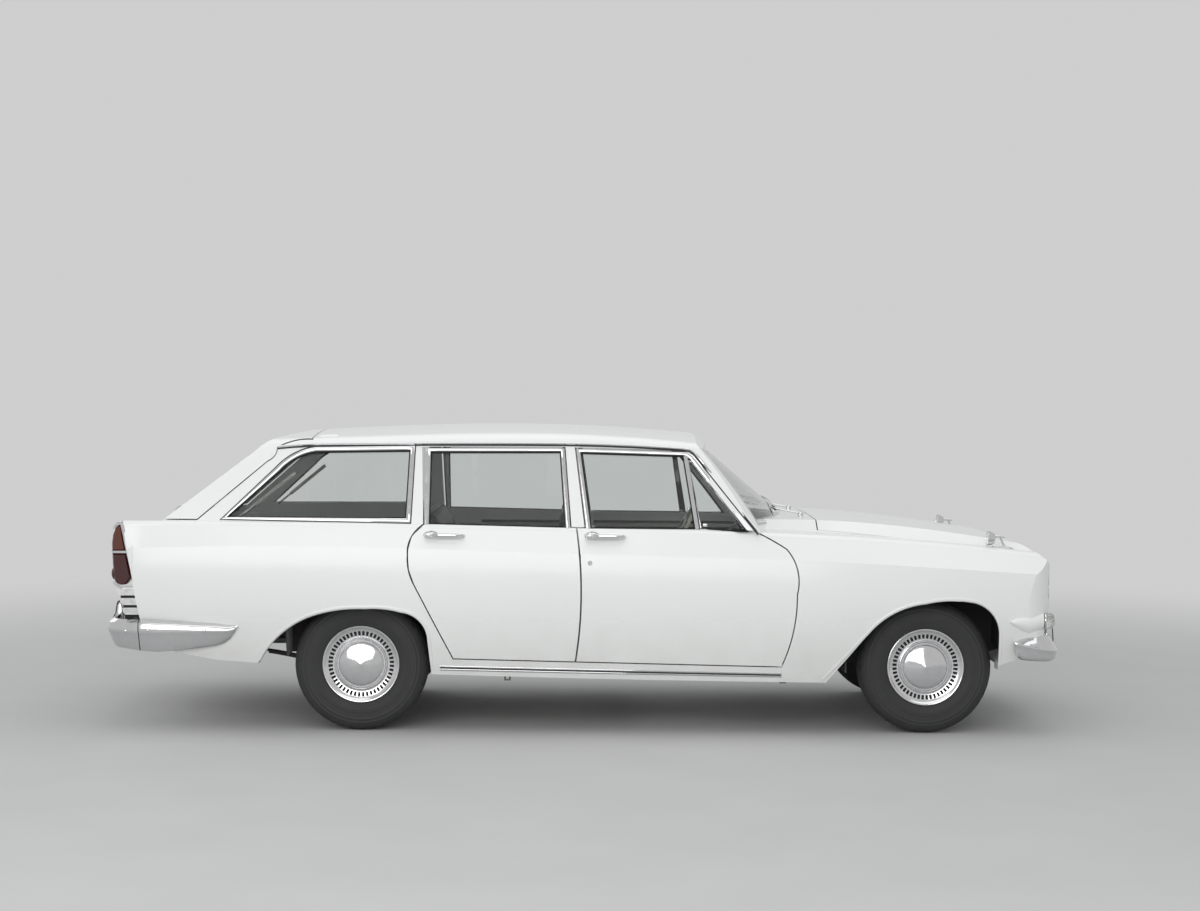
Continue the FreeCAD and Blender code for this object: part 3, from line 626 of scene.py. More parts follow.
def window_trim():
    rear, front, fixed = Shape(), Shape(), Shape()
    for shape, (inner, outer) in ((rear, REAR_FRAME), (front, FRONT_FRAME)):
        shape.add(*ribbon(inner, outer, 0.005, 0.010), CHROME)
        seal = shifted(inner, -SEAL, closed=False)
        shape.add(*ribbon(seal, inner, -0.007, 0.014, cross=3), RUBBER_AND_SHADOW)
        (x0, z0), (x1, z1) = inner[0], inner[-1]
        sill = ([(x0, z0), (x1, z1)], [(x0, z0 + 7), (x1, z1 + 7)])
        shape.add(*ribbon(*sill, -0.006, 0.015, cross=3), RUBBER_AND_SHADOW)
    fixed.add(*ribbon(QUARTER_GLASS, QUARTER_EDGE, 0.006, 0.012, closed=True), CHROME)
    fixed.add(*ribbon(QUARTER_EDGE, shifted(QUARTER_GLASS, 26), 0.0015, 0.004, closed=True, cross=2), RUBBER_AND_SHADOW)
    fixed.add(*ribbon(shifted(QUARTER_GLASS, -SEAL), QUARTER_GLASS, -0.006, 0.014, closed=True, cross=3),
              RUBBER_AND_SHADOW)
    # The vent window ahead of the division bar: its bar, rubber channel and thin bright frame
    bar = (shifted(DIVISION_BAR, 9, closed=False), shifted(DIVISION_BAR, -9, closed=False))
    front.add(*ribbon(*bar, 0.001, 0.016), CHROME)
    for side in (1, -1):
        edge = (shifted(DIVISION_BAR, 9 * side, closed=False), shifted(DIVISION_BAR, 14 * side, closed=False))
        front.add(*ribbon(*edge, -0.008, 0.014, cross=3), RUBBER_AND_SHADOW)
    vent_out, vent_far = shifted(VENT_GLASS, 7), shifted(VENT_GLASS, 17)
    front.add(*ribbon(VENT_GLASS, vent_out, -0.006, 0.013, closed=True, edge=0.6), CHROME)
    front.add(*ribbon(vent_out, vent_far, -0.0095, 0.014, closed=True, cross=3), RUBBER_AND_SHADOW)
    # The vent's catch
    x, z = 0.588, 1.006
    y = cabin_y(x, z) + 0.004
    front.add(*bevel_box((x - 0.010, y - 0.010, z - 0.012), (x + 0.012, y + 0.012, z + 0.004), 0.003), CHROME)
    sided("door_rear_frame", rear, "door_rear_%s")
    sided("door_front_frame", front, "door_front_%s")
    sided("quarter_window_frame", fixed)


DRIP_RAIL = [(-1478, 1362), (-1380, 1371), (-1242, 1377), (-690, 1385), (-95, 1387), (216, 1380), (440, 1368),
             (500, 1363), (536, 1350), (606, 1268), (720, 1127), (846, 969)]


def drip_rails():
    path = [Vector((x * 0.001, cabin_y(x * 0.001, z * 0.001), z * 0.001)) for x, z in curve_2d(DRIP_RAIL)]
    channel = [(-0.004, 0.004), (0.006, 0.005), (0.010, 0.003), (0.011, -0.001), (0.009, -0.005),
               (0.004, -0.007), (0.003, -0.003), (-0.004, -0.002)]
    # Under the chrome channel, a near-black strip: painted shadow of the rail and the gap below it
    shadow = [(-0.004, -0.002), (0.002, -0.002), (0.002, -0.013), (-0.004, -0.013)]
    shape = Shape()
    shape.add(*sweep(path, flip_section(channel), CABIN_OUT), CHROME)
    shape.add(*sweep(path, flip_section(shadow), CABIN_OUT), RUBBER_AND_SHADOW)
    sided("drip_rail", shape)


def curve_2d(points, steps=8):
    return [(p.x, p.y) for p in curve_through([(x, z, 0) for x, z in points], steps)]


def flip_section(section):
    """The sweeps run forwards, so across points down on the right side."""
    return [(a, -b) for a, b in section]


ARCH_REAR = outline([(-1538, 341), (-1440, 470, -1300, 560), (-1170, 594, -1030, 602), (-930, 600, -860, 586),
                     (-768, 540, -733, 450), (-717, 300)], 12)
LIP = 14
ARCH_GROW = 1.06        # the lips take their y from a little outside the openings
ARCH_FRONT = outline([(1160, 262), (1363, 490), (1480, 590, 1640, 640), (1745, 655, 1850, 649),
                      (1953, 600, 1997, 489), (2001, 356)], 12)


def arch_lips():
    shape = Shape()

    def beside(x, z):
        return side_y(middle + (x - middle) * ARCH_GROW, AXLE_Z + (z - AXLE_Z) * ARCH_GROW)

    for arch, middle in ((ARCH_FRONT, FRONT_X), (ARCH_REAR, REAR_X)):
        inner = refine_2d(arch, 22)
        outer = shifted(inner, LIP, closed=False)
        shape.add(*ribbon(shifted(inner, -1, closed=False), outer, 0.0035, 0.012, step=1, cross=6, edge=0.0,
                          y_of=beside), PAINT)
    sided("arch_lips", shape)


def refine_2d(points, step):
    return [(p.x, p.y) for p in refine([(x, z, 0) for x, z in points], step)]


SILL_TRIM = ([(-676, 326), (955, 299)], [(-676, 301), (955, 277)])


def sill_trim():
    shape = Shape()

    def line(share):
        return [(p[0], p[1] + (q[1] - p[1]) * share) for p, q in zip(*SILL_TRIM)]

    for top, low in ((0.0, 0.40), (0.60, 1.0)):
        shape.add(*ribbon(line(top), line(low), 0.007, 0.004, y_of=side_y), BRIGHT)
    shape.add(*ribbon(line(0.3), line(0.7), 0.002, 0.004, y_of=side_y, cross=2), RUBBER_AND_SHADOW)
    # Jacking sockets below the sill
    for x in (-354, 966):
        z = 0.262 if x > 0 else 0.268
        y = side_y(x * 0.001, 0.30) + 0.035
        loop = [Vector((x * 0.001 - 0.012, y, z + 0.006)), Vector((x * 0.001 - 0.012, y, z - 0.012)),
                Vector((x * 0.001 + 0.012, y, z - 0.012)), Vector((x * 0.001 + 0.012, y, z + 0.006))]
        shape.add(*sweep(refine(loop, 0.006), ring_section(0.004, 8), (0, -1, 0)), STEEL)
    sided("sill_trim", shape)


HANDLES = {"front": (11, 201, 952), "rear": (-757, -566, 952)}
LOCK_AT = (0.038, 0.825)


def door_handles():
    for name, (x0, x1, z) in HANDLES.items():
        shape = Shape()
        x0, x1, z = mm(x0, x1, z)
        y = side_y(x0 + 0.05, z)
        out = Vector((0, -1, 0))
        # The oval plate that the push button stands in
        rows = []
        for lift, grow in ((-0.012, 1.0), (0.003, 1.0), (0.006, 0.92), (0.012, 0.70), (0.0145, 0.45)):
            for k in range(28):
                a = 2 * pi * k / 28
                px, pz = x0 + 0.036 + 0.036 * grow * cos(a), z + 0.019 * grow * sin(a)
                rows.append(Vector((px, side_y(px, pz) - lift, pz)))
        shape.add(rows, capped(5, 28), CHROME)
        button = [(0.0, 0.008), (0.0085, 0.008), (0.0095, 0.018), (0.0080, 0.0215), (0.0, 0.023)]
        shape.add(*lathe(button, (x0 + 0.026, y, z), (0, -1, 0), 24), POLISHED)
        # The pull: a tapered bar that leaves the plate, stands off the door and comes back to a foot
        spine = [(x0 + 0.052, 0.010, 0.0115), (x0 + 0.066, 0.018, 0.0105), (x0 + 0.085, 0.0228, 0.0095),
                 (x0 + 0.12, 0.0235, 0.0088), (x0 + 0.155, 0.022, 0.0078), (x1 - 0.018, 0.016, 0.0068),
                 (x1 - 0.006, 0.009, 0.0056), (x1, 0.000, 0.0045)]
        line = curve_through([(a, side_y(a, z) - b, z) for a, b, c in spine], 6)
        halves = curve_through([(c, 0, 0) for a, b, c in spine], 6)
        points, count = [], 16
        for i, (p, h) in enumerate(zip(line, halves)):
            tangent = (line[min(i + 1, len(line) - 1)] - line[max(i - 1, 0)]).normalized()
            normal = (out - tangent * out.dot(tangent)).normalized()
            for k in range(count):
                a = 2 * pi * k / count
                points.append(p + normal * 0.0065 * cos(a) + Vector((0, 0, 1)) * h.x * sin(a))
        shape.add(points, capped(len(line), count), CHROME)
        # The front doors have a lock
        if name == "front":
            lock = [(0.0, -0.004), (0.0115, -0.004), (0.0115, 0.001), (0.0098, 0.0035), (0.0055, 0.0035),
                    (0.0052, 0.0022), (0.0, 0.0022)]
            shape.add(*lathe(lock, (LOCK_AT[0], side_y(*LOCK_AT), LOCK_AT[1]), (0, -1, 0), 28), CHROME)
        sided("door_%s_handle" % name, shape, "door_%s_%%s" % name)


# Wheels and tyres
SLOTS = 48
SLOT_IN, SLOT_OUT = 0.137, 0.158
WHEEL_RINGS = [(0.000, 0.0885), (0.004, 0.0880), (0.030, 0.0838), (0.060, 0.0785), (0.092, 0.0700),
               (0.100, 0.0672), (0.104, 0.0640), (0.106, 0.0590), (0.109, 0.0560), (0.114, 0.0560),
               (0.117, 0.0590), (0.119, 0.0632), (0.1215, 0.0648), (0.124, 0.0636), (0.126, 0.0600),
               (0.129, 0.0575), (0.133, 0.0570), (0.136, 0.0576), (0.1372, 0.0580), (0.1395, 0.0583),
               (0.1475, 0.0600), (0.1555, 0.0622), (0.158, 0.0630), (0.160, 0.0638), (0.164, 0.0655),
               (0.170, 0.0690), (0.174, 0.0725), (0.177, 0.0752), (0.1795, 0.0768), (0.182, 0.0772),
               (0.184, 0.0762), (0.1855, 0.0735), (0.1860, 0.0700), (0.1850, 0.0665), (0.172, 0.0570)]
DISH = 0.009
TREAD_HALF = 0.052
TYRE_PROFILE = [(0.1725, 0.0575), (0.178, 0.0640), (0.184, 0.0688), (0.1885, 0.0712), (0.193, 0.0726),
                (0.1945, 0.0742), (0.1975, 0.0742), (0.1990, 0.0752), (0.204, 0.0772), (0.212, 0.0796),
                (0.220, 0.0812), (0.2215, 0.0822), (0.2240, 0.0822), (0.2255, 0.0815), (0.2290, 0.0816),
                (0.2305, 0.0826), (0.2330, 0.0826), (0.2345, 0.0818), (0.244, 0.0820), (0.254, 0.0817),
                (0.264, 0.0808), (0.2655, 0.0815), (0.268, 0.0812), (0.2695, 0.0800), (0.280, 0.0778),
                (0.2815, 0.0784), (0.284, 0.0777), (0.2855, 0.0764), (0.293, 0.0734), (0.300, 0.0690),
                (0.3055, 0.0640), (0.3100, 0.0590), (0.3135, 0.0560)]


def wheel_shape():
    """The full-width trim: a shallow polished cone, a ring of radial slots with near-black floors as painted
    shade, and a bright outer bead.
    """
    count = SLOTS * 8
    points = []
    for r, h in WHEEL_RINGS:
        for k in range(count):
            a = 2 * pi * (k + 0.5) / count
            inside = SLOT_IN + 0.002 < r < SLOT_OUT - 0.002 and k % 8 in (2, 3, 4, 5)
            points.append(Vector((r * cos(a), -h + (DISH if inside else 0), r * sin(a))))
    shape = Shape()
    bright, dark, cone = [], [], []
    for i in range(len(WHEEL_RINGS) - 1):
        for k in range(count):
            n = (k + 1) % count
            face = (i * count + k, i * count + n, (i + 1) * count + n, (i + 1) * count + k)
            deep = all(points[v].y > -WHEEL_RINGS[v // count][1] + 0.5 * DISH for v in face)
            if i == 0:
                face = (0, (i + 1) * count + n, (i + 1) * count + k)
            (dark if deep else cone if WHEEL_RINGS[i + 1][0] < 0.1041 else bright).append(face)
    shape.add(points, bright, POLISHED)
    # Near-black on the sunken slot floors: painted shade of the slots
    shape.add(points, dark, BLACK_AND_SHADE)
    shape.add(points, cone, CHROME)
    # The steel wheel behind the trim
    steel = [(0.172, 0.057), (0.171, -0.060), (0.183, -0.071), (0.180, -0.073), (0.166, -0.061),
             (0.159, -0.058), (0.159, 0.020), (0.06, 0.022), (0.0, 0.022), (0.0, 0.030), (0.06, 0.030),
             (0.160, 0.040)]
    shape.add(*lathe(steel, (0, 0, 0), (0, -1, 0), 72), STEEL)
    return shape


def tyre_shape():
    """Fine concentric ribs on the wall, a rounded shoulder with notches, and a ribbed tread."""
    count = 240
    shape = Shape()
    tread = []
    steps = 26
    for k in range(1, steps):
        y = TREAD_HALF * (1 - 2 * k / steps)
        tread.append((0.3215 - 0.004 * (y / TREAD_HALF)**4 - 0.0012 * (y / TREAD_HALF)**2, y))
    tread = [(0.3165, TREAD_HALF)] + tread + [(0.3165, -TREAD_HALF)]
    profile = TYRE_PROFILE + tread + [(r, -h) for r, h in reversed(TYRE_PROFILE)]
    first = len(TYRE_PROFILE)
    points = []
    for i, (r, h) in enumerate(profile):
        for k in range(count):
            a = 2 * pi * k / count
            drop, shift = 0.0, 0.0
            if first <= i < first + len(tread):
                j = i - first
                zig = 0.0016 * (1 if (k // 3) % 2 else -1)
                if j in (4, 5, 9, 10, 16, 17, 21, 22):
                    drop = 0.006
                if 3 <= j <= 23:
                    shift = zig
                elif (k // 2) % 3 == 0:
                    drop = 0.004
            elif i in (first - 1, first + len(tread)) and (k // 2) % 3 == 0:
                drop = 0.003
            points.append(Vector(((r - drop) * cos(a), -h + shift, (r - drop) * sin(a))))
    shape.add(points, grid_faces(len(profile), count, close_cols=True), TYRE)
    inner = [(0.1725, -0.0575), (0.1725, 0.0575)]
    start = [Vector((r * cos(2 * pi * k / count), -h, r * sin(2 * pi * k / count))) for r, h in inner
             for k in range(count)]
    shape.add(start, grid_faces(2, count, close_cols=True), TYRE)
    return shape


def moved(shape, at, mirror=False):
    twin = shape.mirrored() if mirror else shape
    result = Shape()
    result.points = [p + Vector(at) for p in twin.points]
    result.faces, result.slots, result.materials = list(twin.faces), list(twin.slots), list(twin.materials)
    return result


def wheels():
    trim, rubber = wheel_shape(), tyre_shape()
    for end, x in (("front", FRONT_X), ("rear", REAR_X)):
        for side, s in (("right", -1), ("left", 1)):
            body = "wheel_%s_%s" % (end, side)
            at = (x, s * HALF_TRACK, AXLE_Z)
            obj = moved(trim, at, side == "left").build("wheel_trim_%s_%s" % (end, side), body, 24)
            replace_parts(obj, body)
            obj = moved(rubber, at, side == "left").build("tyre_tread_%s_%s" % (end, side), body, 40)
            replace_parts(obj, "tyre_%s_%s" % (end, side))


# Lamps at the rear corners
LAMP_Y = 0.744


def lens_block(side_points, half, crown=0.012, steps=10):
    """A lens: an outline in side view as (x, z), carried across the car with rounded sides."""
    pts = [mm(x, z) for x, z in side_points]
    cx = sum(p[0] for p in pts) / len(pts)
    cz = sum(p[1] for p in pts) / len(pts)
    rows = []
    for k in range(steps + 1):
        t = 2 * k / steps - 1
        size = (1 - abs(t)**4.0)**0.5 if abs(t) < 1 else 0.0
        keep = 1 - crown / 0.05 * (1 - size) * 0.9
        rows.append([Vector((cx + (x - cx) * keep, -LAMP_Y + t * half, cz + (z - cz) * (0.6 + 0.4 * keep)))
                     for x, z in pts])
    points = [p for row in rows for p in row]
    return points, capped(len(rows), len(pts))


FIN_EDGE = [(-2206, 1001), (-2190, 945), (-2166, 842), (-2140, 730), (-2128, 676), (-2109, 545)]


def fin_x(z):
    """The tail edge of the fin in side view, in millimetres."""
    for (x0, z0), (x1, z1) in zip(FIN_EDGE, FIN_EDGE[1:]):
        if z >= z1:
            t = (z0 - z) / (z0 - z1)
            return x0 + (x1 - x0) * max(0.0, t)
    return FIN_EDGE[-1][0]


def tail_lamps():
    shape = Shape()
    # The bright housing that follows the fin's edge
    rim = [(z, fin_x(z)) for z in (1003, 985, 945, 900, 850, 800, 750, 700, 682)]
    outer = [(x - 4 - 14 * (1 - ((z - 845) / 165)**2) * 0.4, z) for z, x in rim]
    base = [(x + 10, z) for z, x in rim]
    shape.add(*lens_block(outer + list(reversed(base)), 0.046, crown=0.004, steps=8), CHROME)
    # Upper lens, divider, lower lens with its round reflector, and the cap
    upper = [(-2232, 975), (-2246, 940), (-2251, 900), (-2250, 864), (fin_x(864) - 12, 864),
             (fin_x(900) - 12, 900), (fin_x(940) - 11, 940), (-2206, 984), (-2218, 986)]
    shape.add(*lens_block(upper, 0.038), AMBER)
    divider = [(-2253, 864), (-2252, 852), (fin_x(852) - 4, 852), (fin_x(864) - 4, 864)]
    shape.add(*lens_block(divider, 0.041, crown=0.006), CHROME)
    lower = [(-2249, 852), (-2247, 800), (-2243, 750), (-2238, 722), (-2226, 706), (-2205, 699), (-2182, 701),
             (-2170, 714), (fin_x(735) - 13, 735), (fin_x(790) - 14, 790), (fin_x(852) - 13, 852)]
    shape.add(*lens_block(lower, 0.038), RED)
    bulge = [(0.0, 0.016), (0.010, 0.0152), (0.020, 0.0125), (0.027, 0.008), (0.030, 0.002),
             (0.030, -0.004), (0.0, -0.004)]
    shape.add(*lathe(bulge, (-2.2415, -LAMP_Y, 0.752), (-1, 0, -0.05), 32), RED)
    cap = [(-2208, 1005), (-2222, 1001), (-2238, 986), (-2246, 966), (-2238, 970), (-2226, 981),
           (-2212, 987), (-2198, 990), (-2196, 1003)]
    shape.add(*lens_block(cap, 0.044, crown=0.010), CHROME)
    edge = [(-2246, 716), (-2240, 700), (-2222, 688), (-2190, 684), (fin_x(684) - 1, 684),
            (fin_x(695) - 2, 695), (-2176, 695), (-2200, 693), (-2224, 699), (-2236, 710)]
    shape.add(*lens_block(edge, 0.042, crown=0.006), CHROME)
    # Bright overlapping plates below, down to the bumper, with a near-black strip under each one as painted
    # shade
    for top, low, reach in ((686, 650, 98), (639, 604, 91), (593, 558, 84)):
        plate = [(fin_x(top) - 1, top), (fin_x(top) - reach + 8, top - 1), (fin_x(top) - reach, top - 7),
                 (fin_x(low) - reach + 3, low + 9), (fin_x(low) - reach + 12, low), (fin_x(low) - 1, low)]
        shape.add(*lens_block(plate, 0.047, crown=0.004, steps=8), BRIGHT)
        # A near-black strip under each plate: painted shade of the gap below it
        gap = [(fin_x(low) - 2, low + 2), (fin_x(low) - reach + 16, low + 2),
               (fin_x(low) - reach + 18, low - 12), (fin_x(low) - 2, low - 12)]
        shape.add(*lens_block(gap, 0.044, crown=0.0, steps=4), BLACK_AND_SHADE)
    for obj in sided("tail_lamp", shape):
        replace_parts(obj, "tail_lamps")


# Bumpers: a section carried round a line in plan
def smooth_plan(points, steps=10):
    return [Vector((p.x, p.y, 0)) for p in curve_through([(x * 0.001, y * 0.001, 0) for x, y in points],
                                                         steps)]


def bumper_shape(plan, section_at):
    """A bar along a line in plan. section_at gives the (outwards, z) points of its section at a point."""
    n = len(plan)
    points, m = [], 0
    for i, p in enumerate(plan):
        before, after = plan[max(0, i - 1)], plan[min(n - 1, i + 1)]
        t = (after - before).normalized()
        out = Vector((-t.y, t.x, 0))
        section = section_at(p)
        m = len(section)
        points += [p + out * a + Vector((0, 0, z)) for a, z in section]
    return points, capped(n, m)


def lerp_table(table, x):
    """Values between the rows of a table whose first column rises."""
    if x <= table[0][0]:
        return table[0][1:]
    for a, b in zip(table, table[1:]):
        if x <= b[0]:
            t = (x - a[0]) / (b[0] - a[0])
            return tuple(u + (v - u) * t for u, v in zip(a[1:], b[1:]))
    return table[-1][1:]


# Rear bumper, in millimetres. Its side pieces run forward to a point: x, top, crease and lower edge
REAR_EDGE = [(-2330, 538, 477, 404), (-2203, 539, 478, 400), (-2099, 539, 478, 390), (-2020, 537, 478, 386),
             (-1941, 534, 479, 392), (-1850, 530, 480, 402), (-1740, 526, 482, 416), (-1700, 523, 484, 428),
             (-1670, 520, 488, 448), (-1650, 518, 496, 474), (-1638, 516, 508, 504)]
REAR_PLAN = [(-1636, -851), (-1700, -858), (-1850, -864), (-2020, -866), (-2120, -856), (-2200, -832),
             (-2246, -795), (-2272, -735), (-2284, -640), (-2296, -400), (-2303, 0)]


def rear_section(p):
    """A sloping ledge, an upright face down to a keen crease, and a lower face that leans in."""
    top, crease, low = lerp_table(REAR_EDGE, p.x * 1000)
    tip = min(1.0, (top - low) / 90)
    face = top - 13 * tip
    rows = [(-30, top - 3), (-28, top), (-24, top), (-4, face + 1), (-1, face - 1), (2, face - 6),
            (5, 0.5 * (face + crease)), (6, crease + 6), (5, crease + 1), (3, crease - 2),
            (-3, crease - 0.2 * (crease - low)), (-11, crease - 0.5 * (crease - low)),
            (-22, crease - 0.8 * (crease - low)), (-31, low + 2), (-35, low), (-38, low + 3),
            (-28, crease - 0.8 * (crease - low)), (-14, crease - 0.4 * (crease - low)), (-6, crease - 2),
            (-5, face - 8), (-8, face - 6)]
    return [(a * 0.001 * tip, z * 0.001) for a, z in rows]


def whole_plan(half):
    return half + [Vector((p.x, -p.y, 0)) for p in reversed(half[:-1])]


def dome_bolt(at, out, radius=0.009):
    profile = [(0.0, 0.0065), (radius * 0.5, 0.0058), (radius * 0.85, 0.0035), (radius, 0.0),
               (radius, -0.003), (0.0, -0.003)]
    return lathe(profile, at, out, 24)


def rear_bumper():
    shape = Shape()
    half = smooth_plan(REAR_PLAN)
    shape.add(*bumper_shape(whole_plan(half), rear_section), CHROME)
    # The joints between the middle and the side pieces, and the bolt heads
    for s in (-1, 1):
        for x, z in ((-2170, 487), (-2058, 493), (-1791, 491)):
            near = min(half, key=lambda p: abs(p.x - x * 0.001))
            out = Vector((-0.25 if x < -2150 else 0, s * 1.0, 0)).normalized()
            shape.add(*dome_bolt((x * 0.001, s * (0.005 - near.y), z * 0.001), out), CHROME)
        joint = [p for p in half if -2.1035 < p.x < -2.0945] or [min(half, key=lambda p: abs(p.x + 2.099))]
        p = joint[0]
        section = rear_section(p)
        line = [Vector((p.x - 0.006 * (1 - k / 12), s * (a - p.y + 0.0006), z))
                for k, (a, z) in enumerate(section[2:14])]
        shape.add(*sweep(line, ring_section(0.0018, 6), (0, s, 0)), BLACK_AND_SHADE)
    for y in (-0.5, 0.5):
        shape.add(*overrider(-2.270, y, -1, REAR_HORN), CHROME)
        shape.add(*overrider(-2.271, y, -1, REAR_PAD), RUBBER_AND_SHADOW)
    obj = shape.build("rear_bumper_shell", "body")
    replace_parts(obj, "rear_bumper")


# Overriders: height, half width, depth behind and before their middle
REAR_HORN = [(0.430, 0.010, 0.010, 0.010), (0.436, 0.022, 0.020, 0.028), (0.470, 0.026, 0.020, 0.036),
             (0.515, 0.026, 0.020, 0.030), (0.540, 0.024, 0.020, 0.017), (0.575, 0.022, 0.018, 0.013),
             (0.590, 0.015, 0.010, 0.006), (0.594, 0.005, 0.004, 0.002)]
REAR_PAD = [(0.448, 0.004, 0.000, 0.022), (0.452, 0.011, 0.000, 0.034), (0.480, 0.014, 0.000, 0.041),
            (0.515, 0.014, 0.000, 0.036), (0.538, 0.014, 0.000, 0.023), (0.570, 0.014, 0.006, 0.019),
            (0.592, 0.012, 0.016, 0.014), (0.600, 0.004, 0.012, 0.004)]
FRONT_HORN = [(0.392, 0.010, 0.010, 0.004), (0.398, 0.022, 0.020, 0.016), (0.440, 0.026, 0.020, 0.022),
              (0.490, 0.025, 0.020, 0.018), (0.520, 0.023, 0.020, 0.012), (0.540, 0.019, 0.018, 0.004),
              (0.548, 0.012, 0.010, 0.000), (0.550, 0.005, 0.004, 0.000)]
FRONT_PAD = [(0.408, 0.004, 0.000, 0.012), (0.412, 0.012, 0.000, 0.020), (0.440, 0.015, 0.000, 0.024),
             (0.490, 0.015, 0.000, 0.020), (0.520, 0.014, 0.000, 0.014), (0.540, 0.012, 0.004, 0.006),
             (0.550, 0.010, 0.014, 0.002), (0.556, 0.004, 0.012, 0.000)]


def overrider(x, y, direction, rows):
    """An upright horn with rounded corners, or the rubber pad down its face."""
    points, count = [], 24
    for z, half, behind, before in rows:
        for k in range(count):
            a = 2 * pi * k / count
            ca, sa = cos(a), sin(a)
            deep = before if ca > 0 else behind
            along = abs(ca)**0.6 * (1 if ca > 0 else -1) * max(deep, 0.0005)
            across = abs(sa)**0.6 * (1 if sa > 0 else -1) * half
            points.append(Vector((x + direction * along, y + across, z)))
    return points, capped(len(rows), count)


# Front bumper: a keen edge at mid height, a bright face above it and a deep one below that curls back
FRONT_PLAN = [(2066, -856), (2100, -860), (2150, -857), (2208, -842), (2256, -808), (2283, -760),
              (2296, -700), (2301, -620), (2302, -400), (2301, 0)]
FRONT_EDGE = [(2066, 457, 449, 436), (2072, 459, 448, 402), (2082, 462, 445, 380), (2100, 467, 440, 371),
              (2140, 474, 431, 366), (2180, 478, 423, 363), (2220, 481, 416, 361), (2270, 481, 408, 357),
              (2320, 481, 404, 354)]


def front_section(p):
    """An upper face that leans back, a keen edge, and an upright lower face that curls under."""
    top, crease, low = lerp_table(FRONT_EDGE, p.x * 1000)
    tip = min(1.0, (crease - low) / 50)
    rise = top - crease
    rows = [(-58, top - 4), (-54, top), (-46, top + 1), (-34, top - 3), (-16, crease + 0.55 * rise),
            (-3, crease + 0.22 * rise), (4, crease + 7), (6, crease + 1), (5, crease - 3), (1, crease - 9),
            (-1, 0.6 * crease + 0.4 * low), (-3, 0.3 * crease + 0.7 * low), (-9, low + 9), (-18, low + 3),
            (-28, low), (-34, low + 2), (-20, low + 10), (-10, 0.35 * crease + 0.65 * low),
            (-8, crease - 8), (-12, crease), (-30, crease + 0.5 * rise)]
    return [(a * 0.001 * (0.5 + 0.5 * tip), z * 0.001) for a, z in rows]


def front_bumper():
    shape = Shape()
    line = list(reversed(whole_plan(smooth_plan(FRONT_PLAN))))
    shape.add(*bumper_shape(line, front_section), CHROME)
    for y in (-0.56, 0.56):
        shape.add(*overrider(2.288, y, 1, FRONT_HORN), CHROME)
        shape.add(*overrider(2.292, y, 1, FRONT_PAD), RUBBER_AND_SHADOW)
    obj = shape.build("front_bumper_shell", "body")
    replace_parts(obj, "front_bumper")


# Front end
LAMP_Z = 0.715
LAMP_YS = (0.390, 0.590)
GRILLE_X = 2.192
FRAME_X = 2.244
NOSE_STRIP = [(2.2485, 0.8262), (2.2490, 0.8290), (2.2430, 0.8350), (2.2340, 0.8450), (2.2210, 0.8550),
              (2.2085, 0.8635), (2.1970, 0.8570), (2.2200, 0.8400), (2.2340, 0.8262)]


def headlamps():
    shape = Shape()
    for s in (-1, 1):
        for y in LAMP_YS:
            at = (2.131, s * y, LAMP_Z)
            bezel = [(0.0905, 0.0), (0.0910, 0.066), (0.0895, 0.074), (0.0860, 0.0785), (0.0810, 0.0775),
                     (0.0775, 0.0735), (0.0755, 0.0680), (0.0750, 0.050), (0.078, 0.0)]
            shape.add(*lathe(bezel, at, (1, 0, 0), 64), CHROME)
            bowl = [(0.0, 0.006), (0.018, 0.008), (0.040, 0.018), (0.060, 0.036), (0.0748, 0.056),
                    (0.0752, 0.050), (0.060, 0.030), (0.040, 0.012), (0.0, 0.002)]
            shape.add(*lathe(bowl, at, (1, 0, 0), 48), REFLECTOR)
            bulb = [(0.0, 0.036), (0.006, 0.034), (0.009, 0.028), (0.009, 0.010), (0.0, 0.008)]
            shape.add(*lathe(bulb, at, (1, 0, 0), 20), BRIGHT)
            lens = [(0.0, 0.0835), (0.020, 0.0825), (0.040, 0.0792), (0.058, 0.0740), (0.0745, 0.0665),
                    (0.0745, 0.0630), (0.058, 0.0705), (0.040, 0.0757), (0.020, 0.0790), (0.0, 0.0800)]
            shape.add(*lathe(lens, at, (1, 0, 0), 64), FLUTED)
    obj = shape.build("headlamp_units", "body")
    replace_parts(obj, "headlamps")


